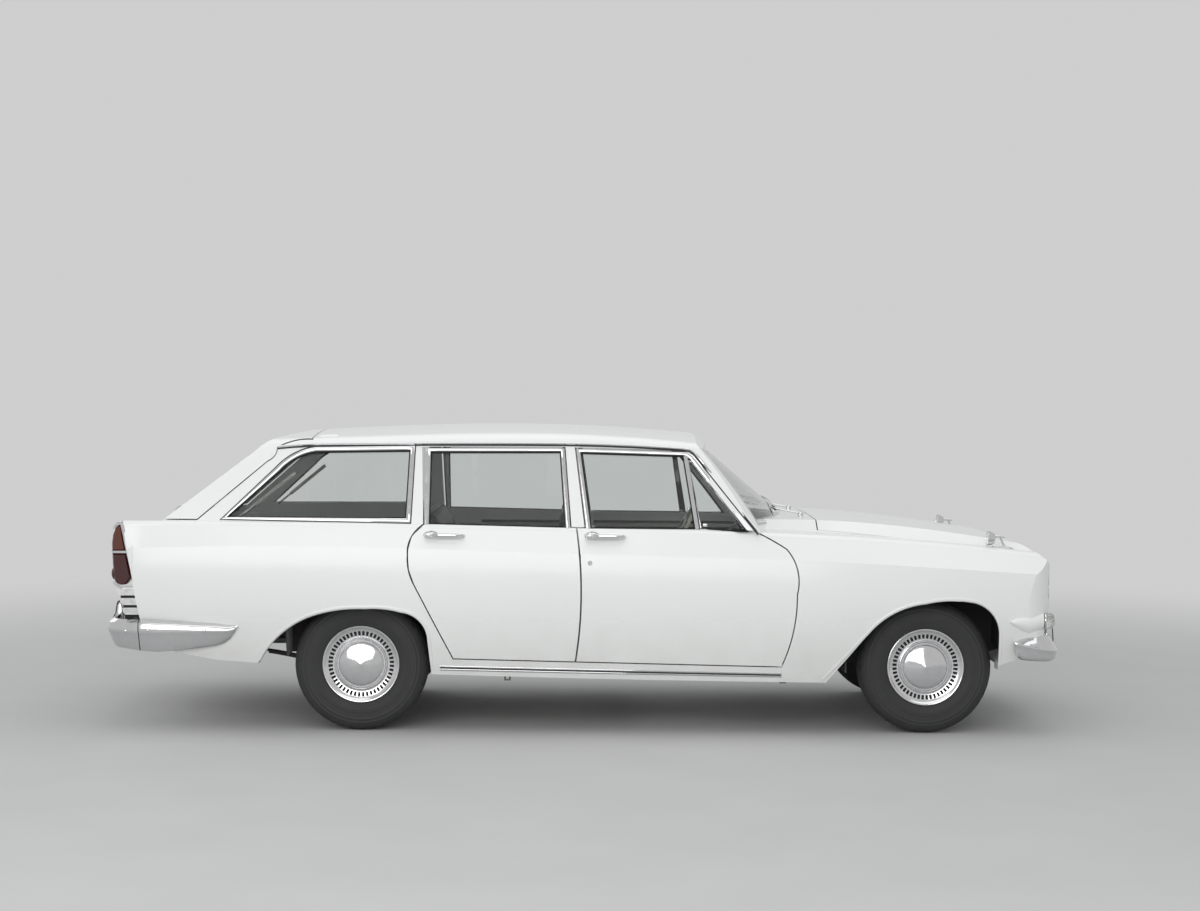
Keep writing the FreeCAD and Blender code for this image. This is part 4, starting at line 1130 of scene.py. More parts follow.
def grille():
    """Fine horizontal bars between the lamps, in a bright frame, with a near-black plate behind them as
    painted shade of the space behind.
    """
    shape = Shape()
    x0, x1 = 2.120, GRILLE_X
    half, low, top = 0.726, 0.606, 0.824
    lamp_gap, bar_margin = 0.093, 0.014
    # A near-black plate across the back: painted shade of the space behind the bars
    shape.add(*bevel_box((x0, -half, low), (x0 + 0.008, half, top), 0.002, 1), BLACK_AND_SHADE)
    count = 15
    for i in range(count):
        z = low + bar_margin + (top - low - 2 * bar_margin) * i / (count - 1)
        spans = [(-half + 0.01, half - 0.01)]
        for s in (-1, 1):
            for y in LAMP_YS:
                reach = lamp_gap**2 - (z - LAMP_Z)**2
                if reach > 0:
                    cut = (s * y - reach**0.5, s * y + reach**0.5)
                    spans = [piece for a, b in spans for piece in ((a, min(b, cut[0])), (max(a, cut[1]), b))
                             if piece[1] - piece[0] > 0.004]
        for a, b in spans:
            steps = max(1, int((b - a) / 0.06))
            line = [(x1 - 0.016 - 0.026 * ((a + (b - a) * k / steps) / half)**4 * 0.6,
                     a + (b - a) * k / steps, z) for k in range(steps + 1)]
            bar = [(0.0, -0.0032), (0.010, -0.0028), (0.0125, 0.0), (0.010, 0.0028), (0.0, 0.0032)]
            shape.add(*sweep(line, bar, (1, 0, 0)), BRIGHT)
    for y in [k * 0.065 for k in range(-11, 12)]:
        if min(abs(abs(y) - lamp) for lamp in LAMP_YS) > 0.085:
            shape.add(*bevel_box((x0 + 0.01, y - 0.0015, low + 0.01), (x1 - 0.022, y + 0.0015, top - 0.01),
                                 0.0006, 1), BRIGHT)
    # The bright frame round the whole recess
    frame = outline([(-690, 604), (690, 604), (735, 650, 735, 715), (735, 780, 690, 826), (-690, 826),
                     (-735, 780, -735, 715), (-735, 650, -690, 604)], 12)[:-1]
    line = [Vector((FRAME_X, y * 0.001, z * 0.001)) for y, z in refine_2d(frame + frame[:1], 60)[:-1]]
    shape.add(*sweep(line, [(-0.010, -0.006), (-0.010, 0.006), (0.003, 0.006), (0.007, 0.003), (0.008, 0.0),
                            (0.007, -0.003), (0.003, -0.006)], (1, 0, 0), closed=True), CHROME)
    obj = shape.build("grille_bars", "body")
    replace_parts(obj, "grille")


def nose_strip():
    """The painted strip between the grille and the bonnet, level across the nose."""
    shape = Shape()
    count = 28
    points = [Vector((x, -0.700 + 1.400 * k / count, z)) for k in range(count + 1) for x, z in NOSE_STRIP]
    shape.add(points, capped(count + 1, len(NOSE_STRIP)), PAINT)
    shape.build("nose_strip", "body")


# The pod on each front wing: x, y, height, half width and half height along it
POD = [(2.046, 0.846, 0.554, 0.001, 0.001), (2.052, 0.842, 0.553, 0.008, 0.008),
       (2.074, 0.832, 0.549, 0.020, 0.0200), (2.105, 0.815, 0.543, 0.034, 0.0345),
       (2.140, 0.795, 0.538, 0.044, 0.0475), (2.168, 0.783, 0.541, 0.047, 0.0490),
       (2.194, 0.774, 0.547, 0.046, 0.0465), (2.209, 0.770, 0.551, 0.0430, 0.0435),
       (2.215, 0.769, 0.552, 0.0420, 0.0425)]


def side_lamps():
    shape = Shape()
    count = 40
    points = [Vector((x, -y + w * cos(2 * pi * k / count), z + h * sin(2 * pi * k / count)))
              for x, y, z, w, h in POD for k in range(count)]
    shape.add(points, capped(len(POD), count), PAINT)
    groove = [(0.0, 0.0), (0.0375, 0.0), (0.0375, 0.006), (0.0, 0.006)]
    ring = [(0.030, 0.005), (0.0395, 0.005), (0.0405, 0.008), (0.0400, 0.011), (0.030, 0.012)]
    lens = [(0.0, 0.056), (0.014, 0.0555), (0.025, 0.0540), (0.032, 0.0508), (0.0362, 0.045), (0.0378, 0.036),
            (0.0386, 0.011), (0.0, 0.011)]
    for mat, profile in ((RUBBER_AND_SHADOW, groove), (CHROME, ring), (CLEAR, lens)):
        shape.add(*lathe(profile, (POD[-1][0], -POD[-1][1], POD[-1][2]), (1, 0, 0), 48), mat)
    for obj in sided("side_lamp", shape):
        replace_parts(obj, "side_lamps")


MIRROR_Y = 0.722


def mirrors():
    """A long pointed foot on each wing, a slanting leg with a short bar, and a deep round head."""
    shape = Shape()
    base = [(1.974, 0.002), (1.995, 0.006), (2.030, 0.010), (2.056, 0.011), (2.072, 0.008), (2.078, 0.003)]
    rows, count = [], 16
    for x, half in base:
        z0 = top_z(x, MIRROR_Y)
        for k in range(count):
            a = 2 * pi * k / count
            rows.append(Vector((x, -MIRROR_Y + half * cos(a), z0 + 0.6 * half * sin(a) + 0.002)))
    shape.add(rows, capped(len(base), count), CHROME)
    foot = Vector((2.057, -MIRROR_Y, top_z(2.057, MIRROR_Y) + 0.002))
    leg = curve_through([foot, (2.036, -MIRROR_Y, 0.907), (2.020, -MIRROR_Y, 0.943),
                         (2.017, -MIRROR_Y, 0.950)], 6)
    shape.add(*tube(leg, 0.0055, 14), CHROME)
    bar = curve_through([(2.038, -MIRROR_Y, 0.9505), (2.018, -MIRROR_Y, 0.9525),
                         (1.986, -MIRROR_Y, 0.9535)], 6)
    shape.add(*tube(bar, 0.0060, 14), CHROME)
    head = (1.959, -MIRROR_Y, 0.9445)
    shell = [(0.0, -0.0320), (0.016, -0.0312), (0.0245, -0.0280), (0.0300, -0.0200), (0.0335, -0.0090),
             (0.0355, 0.0010), (0.0362, 0.0045), (0.0350, 0.0060), (0.0330, 0.0055), (0.0320, 0.0030),
             (0.0, 0.0030)]
    shape.add(*lathe(shell, head, (-1, 0, 0.10), 48), CHROME)
    face = [(0.0, 0.0045), (0.0322, 0.0038), (0.0322, 0.0026), (0.0, 0.0026)]
    shape.add(*lathe(face, head, (-1, 0, 0.10), 48), MIRROR)
    for obj in sided("wing_mirror", shape):
        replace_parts(obj, "mirrors")


TOP = surface_tree([n for n in SHELL_NAMES if not n.startswith("door_")])


def top_z(x, y):
    """The top of the body at x and a distance y from its middle."""
    for dx in (0, 0.01, -0.01, 0.02):
        hit = TOP.ray_cast(Vector((x + dx, -y, FAR)), Vector((0, 0, -1)))[0]
        if hit is not None and hit.z > 0.6:
            return hit.z
    return 0.9


# Windscreen and tailgate surrounds
SCREEN = surface_tree(["windscreen"])
GATE_GLASS = surface_tree(["tailgate_glass"])
PANE_MIDDLE = 1.19
SCREEN_HOLE = outline([(-702, 1018), (702, 1018), (575, 1352), (0, 1372, -575, 1352)], 16)
GATE_HOLE = outline([(-640, 1040), (640, 1040), (560, 1300), (540, 1322, 510, 1326), (-510, 1326),
                     (-540, 1322, -560, 1300)], 6)


def on_pane(tree, direction, y, z):
    """The pane's surface at y, z, met by rays that come nearer its middle where they miss."""
    for k in (1.0, 0.985, 0.965, 0.94, 0.90, 0.85, 0.75, 0.6):
        start = Vector((-direction * FAR, y * k, PANE_MIDDLE + (z - PANE_MIDDLE) * k))
        hit = tree.ray_cast(start, Vector((direction, 0, 0)))[0]
        if hit is not None:
            return hit.x


def window_ring(hole, tree, direction, proud, width):
    """A strip round an end window, from its inner lip to its turned-in edge."""
    hole = refine_2d(hole + hole[:1], 45)[:-1]
    edge, lip = shifted(hole, -width), shifted(hole, width * 0.45)
    middle = [(0.5 * (p[0] + q[0]), 0.5 * (p[1] + q[1])) for p, q in zip(hole, edge)]
    points = []
    for row in zip(lip, hole, middle, edge, edge):
        for (y, z), lift in zip(row, (0.002, proud * 0.8, proud, proud * 0.75, -0.01)):
            y, z = mm(y, z)
            points.append(Vector((on_pane(tree, direction, y, z) - direction * lift, y, z)))
    return points, grid_faces(len(hole), 5, True, True)


def end_windows():
    screen = Shape()
    screen.add(*window_ring(SCREEN_HOLE, SCREEN, -1, 0.021, 13), CHROME)
    screen.build("windscreen_surround", "body")
    gate = Shape()
    gate.add(*window_ring(GATE_HOLE, GATE_GLASS, 1, 0.019, 15), CHROME)
    gate.build("tailgate_window_surround", "tailgate")


WIPER_X = 1.088
SCREEN_FOOT = 1.045


def on_screen(y, z):
    return SCREEN.ray_cast(Vector((FAR, y, z)), Vector((-1, 0, 0)))[0]


def wipers():
    """Two arms parked along the foot of the windscreen, both pivots on the scuttle."""
    for name, y0, y1 in (("right", -0.36, 0.16), ("left", 0.26, 0.66)):
        shape = Shape()
        z0 = top_z(WIPER_X, -y0)
        cap = [(0.0, 0.022), (0.007, 0.021), (0.011, 0.016), (0.013, 0.004), (0.016, 0.0), (0.0, -0.003)]
        shape.add(*lathe(cap, (WIPER_X, y0, z0), (0.25, 0, 1), 24), CHROME)
        points = []
        for k in range(9):
            t = k / 8
            y = y0 + (y1 - y0) * t
            z = z0 + 0.014 + (0.030 if t < 0.12 else 0.030 + 0.030 * t) * min(1, t * 5)
            hit = on_screen(y, max(z, SCREEN_FOOT))
            x = (hit.x + 0.016) if hit is not None and t > 0.05 else WIPER_X - 0.01
            if t < 0.2:
                points.append(Vector((min(x, WIPER_X + 0.006), y, z)))
            else:
                points.append(Vector((x, y, max(z, SCREEN_FOOT))))
        arm = curve_through(points, 4)
        shape.add(*sweep(arm, [(0.002, -0.0045), (0.003, 0.0), (0.002, 0.0045), (-0.002, 0.0045),
                               (-0.002, -0.0045)], (1, 0, 0.5)), CHROME)
        blade = []
        for k in range(13):
            t = k / 12
            y = y0 + (y1 - y0) * (0.30 + 0.78 * t)
            z = 1.050 + 0.012 * t
            hit = on_screen(y, z)
            if hit is not None:
                blade.append(hit + Vector((0.007, 0, 0.002)))
        if len(blade) > 3:
            shape.add(*sweep(blade, [(0.007, -0.004), (0.007, 0.004), (0.001, 0.004), (-0.005, 0.001),
                                     (-0.005, -0.001), (0.001, -0.004)], (1, 0, 0.8)), CHROME)
            shape.add(*sweep([p - Vector((0.004, 0, 0.003)) for p in blade],
                             [(0.004, -0.003), (0.004, 0.003), (-0.004, 0.001), (-0.004, -0.001)],
                             (1, 0, 0.8)), RUBBER_AND_SHADOW)
        shape.build("wiper_" + name, "body")


HINGE_COVER = (-1.288, -1.190)
HINGE_COVER_Y = 0.556


def tailgate_parts():
    shape = Shape()
    # Flat rounded hinge covers on the shoulders of the roof's rear, fixed to it
    for s in (-1, 1):
        rows, count = [], 20
        for k in range(13):
            x = HINGE_COVER[0] + (HINGE_COVER[1] - HINGE_COVER[0]) * k / 12
            size = (1 - abs(k / 6 - 1)**6)**0.5 if 0 < k < 12 else 0.3
            for j in range(count):
                a = 2 * pi * j / count
                y = HINGE_COVER_Y + 0.026 * size * abs(cos(a))**0.7 * (1 if cos(a) > 0 else -1)
                rows.append(Vector((x, s * y, top_z(x, y) - 0.001 + 0.009 * size * sin(a))))
        shape.add(rows, capped(13, count), PAINT)
    shape.build("tailgate_hinge_covers", "body")
    gate = Shape()
    # Handle with a keyhole boss, a lamp over the number plate, and the blank plate itself
    x = rear_x(0.0, 0.80)
    gate.add(*bevel_box((x - 0.006, -0.26, 0.640), (x + 0.006, 0.26, 0.752), 0.003, 2), PLATE)
    gate.add(*bevel_box((x - 0.004, -0.268, 0.632), (x + 0.008, 0.268, 0.760), 0.004, 2), CHROME)
    gate.add(*bevel_box((x - 0.030, -0.085, 0.772), (x + 0.008, 0.085, 0.800), 0.009, 3), CHROME)
    gate.add(*bevel_box((x - 0.026, -0.060, 0.766), (x - 0.004, 0.060, 0.774), 0.003, 2), CLEAR)
    x = rear_x(0.0, 0.855)
    gate.add(*lathe([(0.0, 0.012), (0.010, 0.011), (0.020, 0.006), (0.024, 0.0), (0.0, -0.004)],
                    (x, 0, 0.858), (-1, 0, 0), 32), CHROME)
    lever = curve_through([(x - 0.010, -0.070, 0.858), (x - 0.024, -0.040, 0.858), (x - 0.026, 0.0, 0.858),
                           (x - 0.024, 0.040, 0.858), (x - 0.010, 0.070, 0.858)], 6)
    gate.add(*sweep(lever, ring_section(0.008, 12, 0.6), (-1, 0, 0)), CHROME)
    gate.build("tailgate_handle_and_plate", "tailgate")


REAR = surface_tree(["tailgate", "rear_panel", "body_sides"])


def rear_x(y, z):
    hit = REAR.ray_cast(Vector((-4, y, z)), Vector((1, 0, 0)))[0]
    return hit.x if hit is not None else -2.2


def front_plate():
    shape = Shape()
    shape.add(*bevel_box((2.3082, -0.255, 0.366), (2.3142, 0.255, 0.472), 0.002, 2), PLATE)
    for y in (-0.18, 0.18):
        shape.add(*bevel_box((2.2900, y - 0.012, 0.440), (2.3086, y + 0.012, 0.462), 0.002, 1), CHROME)
    shape.build("front_plate", "body")


# Below the floor
EXHAUST_Y = 0.22
EXHAUST_LINE = [(1.000, 0.228), (-1.100, 0.228), (-1.190, 0.236), (-1.330, 0.300), (-1.420, 0.326),
                (-1.500, 0.330), (-2.150, 0.322)]
SPRING_Y = 0.480
SPRING_LINE = [(-1.690, 0.374), (-1.500, 0.350), (-1.280, 0.308), (-1.060, 0.286), (-0.800, 0.276),
               (-0.570, 0.284)]


def exhaust():
    """A pipe that rises over the axle, with a silencer ahead of it and straps to the floor."""
    shape = Shape()
    line = curve_through([(x, EXHAUST_Y, z) for x, z in EXHAUST_LINE], 5)
    shape.add(*tube(line, 0.022, 20), STEEL)
    drum = [(0.0, 0.0), (0.030, 0.002), (0.048, 0.012), (0.054, 0.030), (0.054, 0.520), (0.048, 0.538),
            (0.030, 0.548), (0.0, 0.550)]
    shape.add(*lathe(drum, (0.200, EXHAUST_Y, 0.228), (-1, 0, 0), 40), STEEL)
    tip = [(0.0225, 0.0), (0.0240, 0.004), (0.0240, 0.052), (0.0225, 0.054), (0.0200, 0.052),
           (0.0200, 0.034), (0.0, 0.033), (0.0, 0.0)]
    shape.add(*lathe(tip, (-2.120, EXHAUST_Y, 0.3225), (-1, 0, 0), 32), STEEL)
    for x, z, top in ((0.700, 0.235, 0.300), (-0.480, 0.235, 0.300), (-1.900, 0.330, 0.530)):
        shape.add(*bevel_box((x - 0.006, EXHAUST_Y - 0.012, z), (x + 0.006, EXHAUST_Y + 0.012, top), 0.002,
                             1), RUBBER_AND_SHADOW)
    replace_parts(shape.build("exhaust_pipe", "body"), "exhaust")


def rear_axle():
    """A live axle on packs of leaves, each with its eyes, clamp, shackle and damper."""
    shape = Shape()
    x, z = REAR_X, AXLE_Z
    casing = [(0.0, -0.640), (0.038, -0.640), (0.038, -0.150), (0.052, -0.110), (0.052, 0.110),
              (0.038, 0.150), (0.038, 0.640), (0.0, 0.640)]
    shape.add(*lathe(casing, (x, 0, z), (0, 1, 0), 32), UNDER)
    pumpkin = [(0.0, -0.120), (0.060, -0.120), (0.075, -0.080), (0.100, -0.050), (0.105, 0.0),
               (0.103, 0.050), (0.088, 0.085), (0.050, 0.105), (0.0, 0.110)]
    shape.add(*lathe(pumpkin, (x, 0, z), (-1, 0, 0), 40), UNDER)
    main = curve_through([(px, 0, pz) for px, pz in SPRING_LINE], 5)
    for s in (-1, 1):
        y = s * SPRING_Y
        for k, (back, front) in enumerate(((-1.69, -0.57), (-1.55, -0.68), (-1.40, -0.80), (-1.26, -0.92))):
            leaf = [Vector((p.x, y, p.z - 0.0085 * k)) for p in main if back <= p.x <= front]
            shape.add(*sweep(leaf, [(0.0035, -0.028), (0.0035, 0.028), (-0.0035, 0.028), (-0.0035, -0.028)],
                             (0, 0, 1)), UNDER)
        for px, pz in (SPRING_LINE[0], SPRING_LINE[-1]):
            eye = [(0.0, -0.032), (0.020, -0.032), (0.020, 0.032), (0.0, 0.032)]
            shape.add(*lathe(eye, (px, y, pz), (0, 1, 0), 24), UNDER)
        shape.add(*bevel_box((-1.705, y - 0.036, 0.365), (-1.675, y + 0.036, 0.530), 0.004, 1), UNDER)
        shape.add(*bevel_box((-0.600, y - 0.036, 0.275), (-0.540, y + 0.036, 0.302), 0.004, 1), UNDER)
        shape.add(*bevel_box((x - 0.055, y - 0.036, 0.238), (x + 0.055, y + 0.036, 0.250), 0.003, 1), UNDER)
        for px in (x - 0.040, x + 0.040):
            clamp = [Vector((px, y - 0.033, 0.240)), Vector((px, y - 0.033, 0.362)),
                     Vector((px, y + 0.033, 0.362)), Vector((px, y + 0.033, 0.240))]
            shape.add(*sweep(refine(clamp, 0.02), ring_section(0.006, 8), (1, 0, 0)), STEEL)
        damper = [(0.0, 0.0), (0.016, 0.0), (0.016, 0.090), (0.024, 0.094), (0.024, 0.250), (0.010, 0.256),
                  (0.010, 0.285), (0.0, 0.285)]
        shape.add(*lathe(damper, (x - 0.02, s * 0.40, 0.262), (-0.28, -s * 0.10, 1), 24), UNDER)
    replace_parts(shape.build("rear_axle_and_springs", "body"), "rear_axle")


def rails():
    """The rails pressed into the body beneath the load floor, and the bump stops under them."""
    shape = Shape()
    for s in (-1, 1):
        y = s * 0.455
        shape.add(*bevel_box((-2.180, y - 0.035, 0.425), (-1.330, y + 0.035, 0.530), 0.010, 2), UNDER)
        stop = [(0.0, 0.0), (0.018, 0.004), (0.024, 0.020), (0.022, 0.040), (0.030, 0.058), (0.0, 0.058)]
        shape.add(*lathe(stop, (-1.385, y, 0.370), (0, 0, 1), 24), RUBBER_AND_SHADOW)
    shape.build("rear_rails", "body")


# Cabin
ROUND_Y = 0.05          # how far in from its ends a cushion is rounded
VOXEL = 0.011
PRESSURE, CLOTH_FRAMES, MOST_SWELL = 4.0, 20, 0.014


def cushion_mesh(name, pts, half_y):
    """A closed cushion: a side outline carried across, its ends rounded, swollen as stuffed cloth is."""
    n = len(pts)
    cx = sum(p[0] for p in pts) / n
    cz = sum(p[1] for p in pts) / n
    rows = []
    ys = [-half_y, -half_y + 0.25 * ROUND_Y, -half_y + ROUND_Y]
    ys += [-half_y + ROUND_Y + (2 * half_y - 2 * ROUND_Y) * k / 14 for k in range(1, 14)]
    ys += [half_y - ROUND_Y, half_y - 0.25 * ROUND_Y, half_y]
    for y in ys:
        edge = min(1.0, (half_y - abs(y)) / ROUND_Y)
        size = 0.80 + 0.20 * (1 - (1 - edge)**2)**0.5
        rows.append([Vector((cx + (x - cx) * size, y, cz + (z - cz) * size)) for x, z in pts])
    mesh = bpy.data.meshes.new(name)
    mesh.from_pydata([p for row in rows for p in row], [], capped(len(rows), n))
    bm = bmesh.new()
    bm.from_mesh(mesh)
    bmesh.ops.recalc_face_normals(bm, faces=bm.faces)
    bm.to_mesh(mesh)
    bm.free()
    obj = bpy.data.objects.new(name, mesh)
    scene = bpy.context.scene
    scene.collection.objects.link(obj)
    remesh = obj.modifiers.new("remesh", "REMESH")
    remesh.mode = "VOXEL"
    remesh.voxel_size = VOXEL
    bake(obj)
    start = [v.co.copy() for v in obj.data.vertices]
    cloth = obj.modifiers.new("cloth", "CLOTH")
    cloth.settings.use_pressure = True
    cloth.settings.uniform_pressure_force = PRESSURE
    cloth.settings.effector_weights.gravity = 0
    cloth.settings.quality = 4
    cloth.point_cache.frame_end = CLOTH_FRAMES
    for f in range(1, CLOTH_FRAMES + 1):
        scene.frame_set(f)
    bake(obj)
    scene.frame_set(1)
    for v, p in zip(obj.data.vertices, start):
        move = v.co - p
        if move.length > MOST_SWELL:
            v.co = p + move.normalized() * MOST_SWELL
    return obj


def bake(obj):
    depsgraph = bpy.context.evaluated_depsgraph_get()
    mesh = bpy.data.meshes.new_from_object(obj.evaluated_get(depsgraph))
    obj.modifiers.clear()
    obj.data = mesh


def sewn(obj, channels):
    """Presses sewn channels into a cushion. A channel is given by its y."""
    for v in obj.data.vertices:
        y = v.co.y
        for c in channels:
            d = abs(y - c)
            if d < CHANNEL_REACH:
                v.co -= v.normal * CHANNEL_DEPTH * (1 - (d / CHANNEL_REACH)**2)


def finish_cushion(obj):
    obj.data.materials.clear()
    obj.data.materials.append(VINYL)
    for polygon in obj.data.polygons:
        polygon.use_smooth = True
    sub = obj.modifiers.new("smooth", "SUBSURF")
    sub.levels = 1
    sub.render_levels = 1


# Name, node that it stands for, half width, number of sewn channels, and outline from the side in metres
CUSHIONS = [
    ("front_seat_cushion", "front_seat", 0.612, 15,
     [(-0.045, 0.395), (0.375, 0.395), (0.415, 0.43), (0.418, 0.490), (0.385, 0.520), (0.20, 0.512),
      (0.045, 0.490), (-0.020, 0.470)]),
    ("front_seat_back", "front_seat", 0.612, 15,
     [(-0.075, 0.535), (0.020, 0.535), (0.035, 0.60), (0.000, 0.80), (-0.030, 0.98), (-0.045, 1.055),
      (-0.080, 1.070), (-0.108, 1.045), (-0.100, 0.90), (-0.090, 0.70)]),
    ("rear_seat_cushion", "rear_seat", 0.515, 13,
     [(-0.610, 0.400), (-0.260, 0.400), (-0.222, 0.44), (-0.220, 0.510), (-0.255, 0.545), (-0.42, 0.535),
      (-0.600, 0.515)]),
    ("rear_seat_back", "rear_seat", 0.515, 13,
     [(-0.740, 0.575), (-0.650, 0.560), (-0.635, 0.62), (-0.670, 0.82), (-0.705, 0.98), (-0.725, 1.030),
      (-0.760, 1.045), (-0.788, 1.020), (-0.775, 0.85)]),
]
CHANNEL_DEPTH, CHANNEL_REACH = 0.007, 0.0096
CHANNEL_MARGIN = 0.09


def seats():
    for name, node, half_y, count, side in CUSHIONS:
        obj = cushion_mesh(name, side, half_y)
        sewn(obj, [-half_y + CHANNEL_MARGIN + (2 * half_y - 2 * CHANNEL_MARGIN) * k / (count - 1)
                   for k in range(count)])
        finish_cushion(obj)
        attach(obj, "body")
        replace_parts(obj, node)
    # Plinths and the piping along the top of each back
    base = Shape()
    for x0, x1, z0, half in ((-0.05, 0.40, 0.322, 0.60), (-0.61, -0.23, 0.342, 0.51)):
        for s in (-1, 1):
            y0, y1 = sorted((s * 0.125, s * half))
            base.add(*bevel_box((x0, y0, z0), (x1, y1, 0.392), 0.006, 2), PLASTIC)
    base.build("seat_plinths", "body")
    piping = Shape()
    for x, z, half in ((-0.078, 1.078, 0.56), (-0.757, 1.052, 0.47)):
        line = [(x, y, z) for y in (-half, 0, half)]
        piping.add(*tube(refine(line, 0.1), 0.004, 8), PIPING)
    piping.build("seat_piping", "body")


def steering_wheel():
    centre = Vector((0.470, -0.360, 0.900))
    tilt = radians(28)
    axis = Vector((-cos(tilt), 0, sin(tilt)))
    side = Vector((0, 1, 0))
    up = axis.cross(side)
    shape = Shape()

    def circle(radius, lift, count=72):
        angles = [2 * pi * k / count for k in range(count)]
        return [centre + axis * lift + (side * cos(a) + up * sin(a)) * radius for a in angles]

    # A thin rim with finger grips behind, a bright horn ring, two spokes and a domed boss
    count = 96
    rim, tubes = circle(0.198, 0.0, count), []
    for i, p in enumerate(rim):
        outward = (p - centre).normalized()
        for k in range(14):
            a = 2 * pi * k / 14
            r = 0.0098 + (0.0012 * cos(2 * pi * i / 4) if sin(a) < -0.2 else 0.0)
            tubes.append(p + outward * r * cos(a) + axis * r * sin(a))
    shape.add(tubes, grid_faces(count, 14, close_rows=True, close_cols=True), IVORY)
    ring = circle(0.118, 0.014)
    shape.add(*sweep(ring, ring_section(0.0042, 10), lambda p: (p - centre).normalized(), closed=True),
              CHROME)
    for s in (-1, 1):
        line = [centre + side * s * 0.03 + axis * 0.006, centre + side * s * 0.11 + axis * 0.002,
                centre + side * s * 0.192]
        shape.add(*sweep(refine(line, 0.02), [(0.005, -0.014), (0.007, 0.0), (0.005, 0.014),
                                              (-0.005, 0.012), (-0.005, -0.012)], axis), IVORY)
    boss = [(0.0, 0.034), (0.016, 0.033), (0.028, 0.028), (0.036, 0.018), (0.040, 0.004), (0.040, -0.030),
            (0.0, -0.030)]
    shape.add(*lathe(boss, centre, axis, 40), IVORY)
    shape.add(*lathe([(0.0, 0.039), (0.010, 0.038), (0.018, 0.034), (0.020, 0.031), (0.0, 0.030)], centre,
                     axis, 32), CHROME)
    obj = shape.build("steering_wheel_rim", "steering_wheel")
    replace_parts(obj, "steering_wheel")


def dashboard():
    shape = Shape()
    face_x = 0.797
    # A dark padded roll, a strip of bright metal, dials ahead of the driver and a glove box lid
    roll = [(0.87, y, 0.944) for y in (-0.64, 0.0, 0.64)]
    shape.add(*tube(refine(roll, 0.1), 0.016, 14), VINYL)
    strip = [(face_x + 0.001, y, 0.842) for y in (-0.62, 0.62)]
    shape.add(*sweep(refine(strip, 0.2), [(0.004, -0.006), (0.006, 0.0), (0.004, 0.006), (-0.004, 0.006),
                                          (-0.004, -0.006)], (-1, 0, 0)), CHROME)
    for y, r in ((-0.47, 0.046), (-0.36, 0.060), (-0.25, 0.046)):
        at = (face_x - 0.002, y, 0.872)
        shape.add(*lathe([(r, -0.01), (r, 0.012), (r - 0.003, 0.015), (r - 0.007, 0.012),
                          (r - 0.007, -0.01)], at, (-1, 0, 0), 40), CHROME)
        shape.add(*lathe([(0.0, 0.004), (r - 0.007, 0.004), (r - 0.007, -0.006), (0.0, -0.006)], at,
                         (-1, 0, 0), 40), BLACK_AND_SHADE)
        for k in range(9):
            a = radians(-130 + 260 * k / 8)
            c = Vector(at) + Vector((-0.0048, 0, 0))
            d = Vector((0, sin(a), cos(a)))
            shape.add(*tube([c + d * (r - 0.016), c + d * (r - 0.010)], 0.0009, 6), LINING)
        c = Vector(at) + Vector((-0.007, 0, 0))
        shape.add(*tube([c, c + Vector((0, -0.6, 0.8)) * (r - 0.018)], 0.0009, 6), LINING)
    shape.add(*bevel_box((face_x - 0.004, 0.22, 0.800), (face_x + 0.004, 0.56, 0.900), 0.003, 2), PLASTIC)
    shape.add(*lathe([(0.0, 0.014), (0.010, 0.012), (0.012, 0.006), (0.008, 0.0), (0.0, 0.0)],
                     (face_x - 0.004, 0.39, 0.850), (-1, 0, 0), 24), CHROME)
    for k in range(5):
        shape.add(*lathe([(0.0, 0.020), (0.006, 0.019), (0.009, 0.014), (0.006, 0.006), (0.005, 0.0),
                          (0.0, 0.0)], (face_x, -0.10 + 0.055 * k, 0.812), (-1, 0, 0), 20), CHROME)
    shape.build("dashboard_trim", "body")
    mirror = Shape()
    mirror.add(*bevel_box((0.560, -0.085, 1.292), (0.582, 0.085, 1.334), 0.009, 3), CHROME)
    mirror.add(*bevel_box((0.5585, -0.079, 1.297), (0.5605, 0.079, 1.329), 0.0008, 1), MIRROR)
    mirror.add(*tube([(0.580, 0, 1.325), (0.600, 0, 1.350), (0.604, 0, 1.372)], 0.005, 10), CHROME)
    mirror.build("rear_view_mirror", "body")


def roof_lining():
    """A pale cloth lining just under the roof, from the screen to the tailgate."""
    rows, count = [], 17
    roof = surface_tree(["roof"])
    xs = [0.46 - 0.06 * k for k in range(32)]
    for x in xs:
        for j in range(count):
            t = 2 * j / (count - 1) - 1
            y = 0.588 * t
            hit = roof.ray_cast(Vector((x, y, 0.9)), Vector((0, 0, 1)))[0]
            z = hit.z if hit is not None else 1.35
            rows.append(Vector((x, y, z - 0.006)))
    shape = Shape()
    shape.add(*slab(rows, len(xs), count, (0, 0, 0.003)), LINING)
    shape.build("headlining", "body")


# The arm rest from its middle: x, the x where the door's inner face is met, distance from it, and z
ARM_REST = [(-0.10, -0.10, 0.010, 0.70), (-0.06, 0, 0.034, 0.70), (0.10, 0, 0.036, 0.702),
            (0.16, 0.16, 0.010, 0.704)]


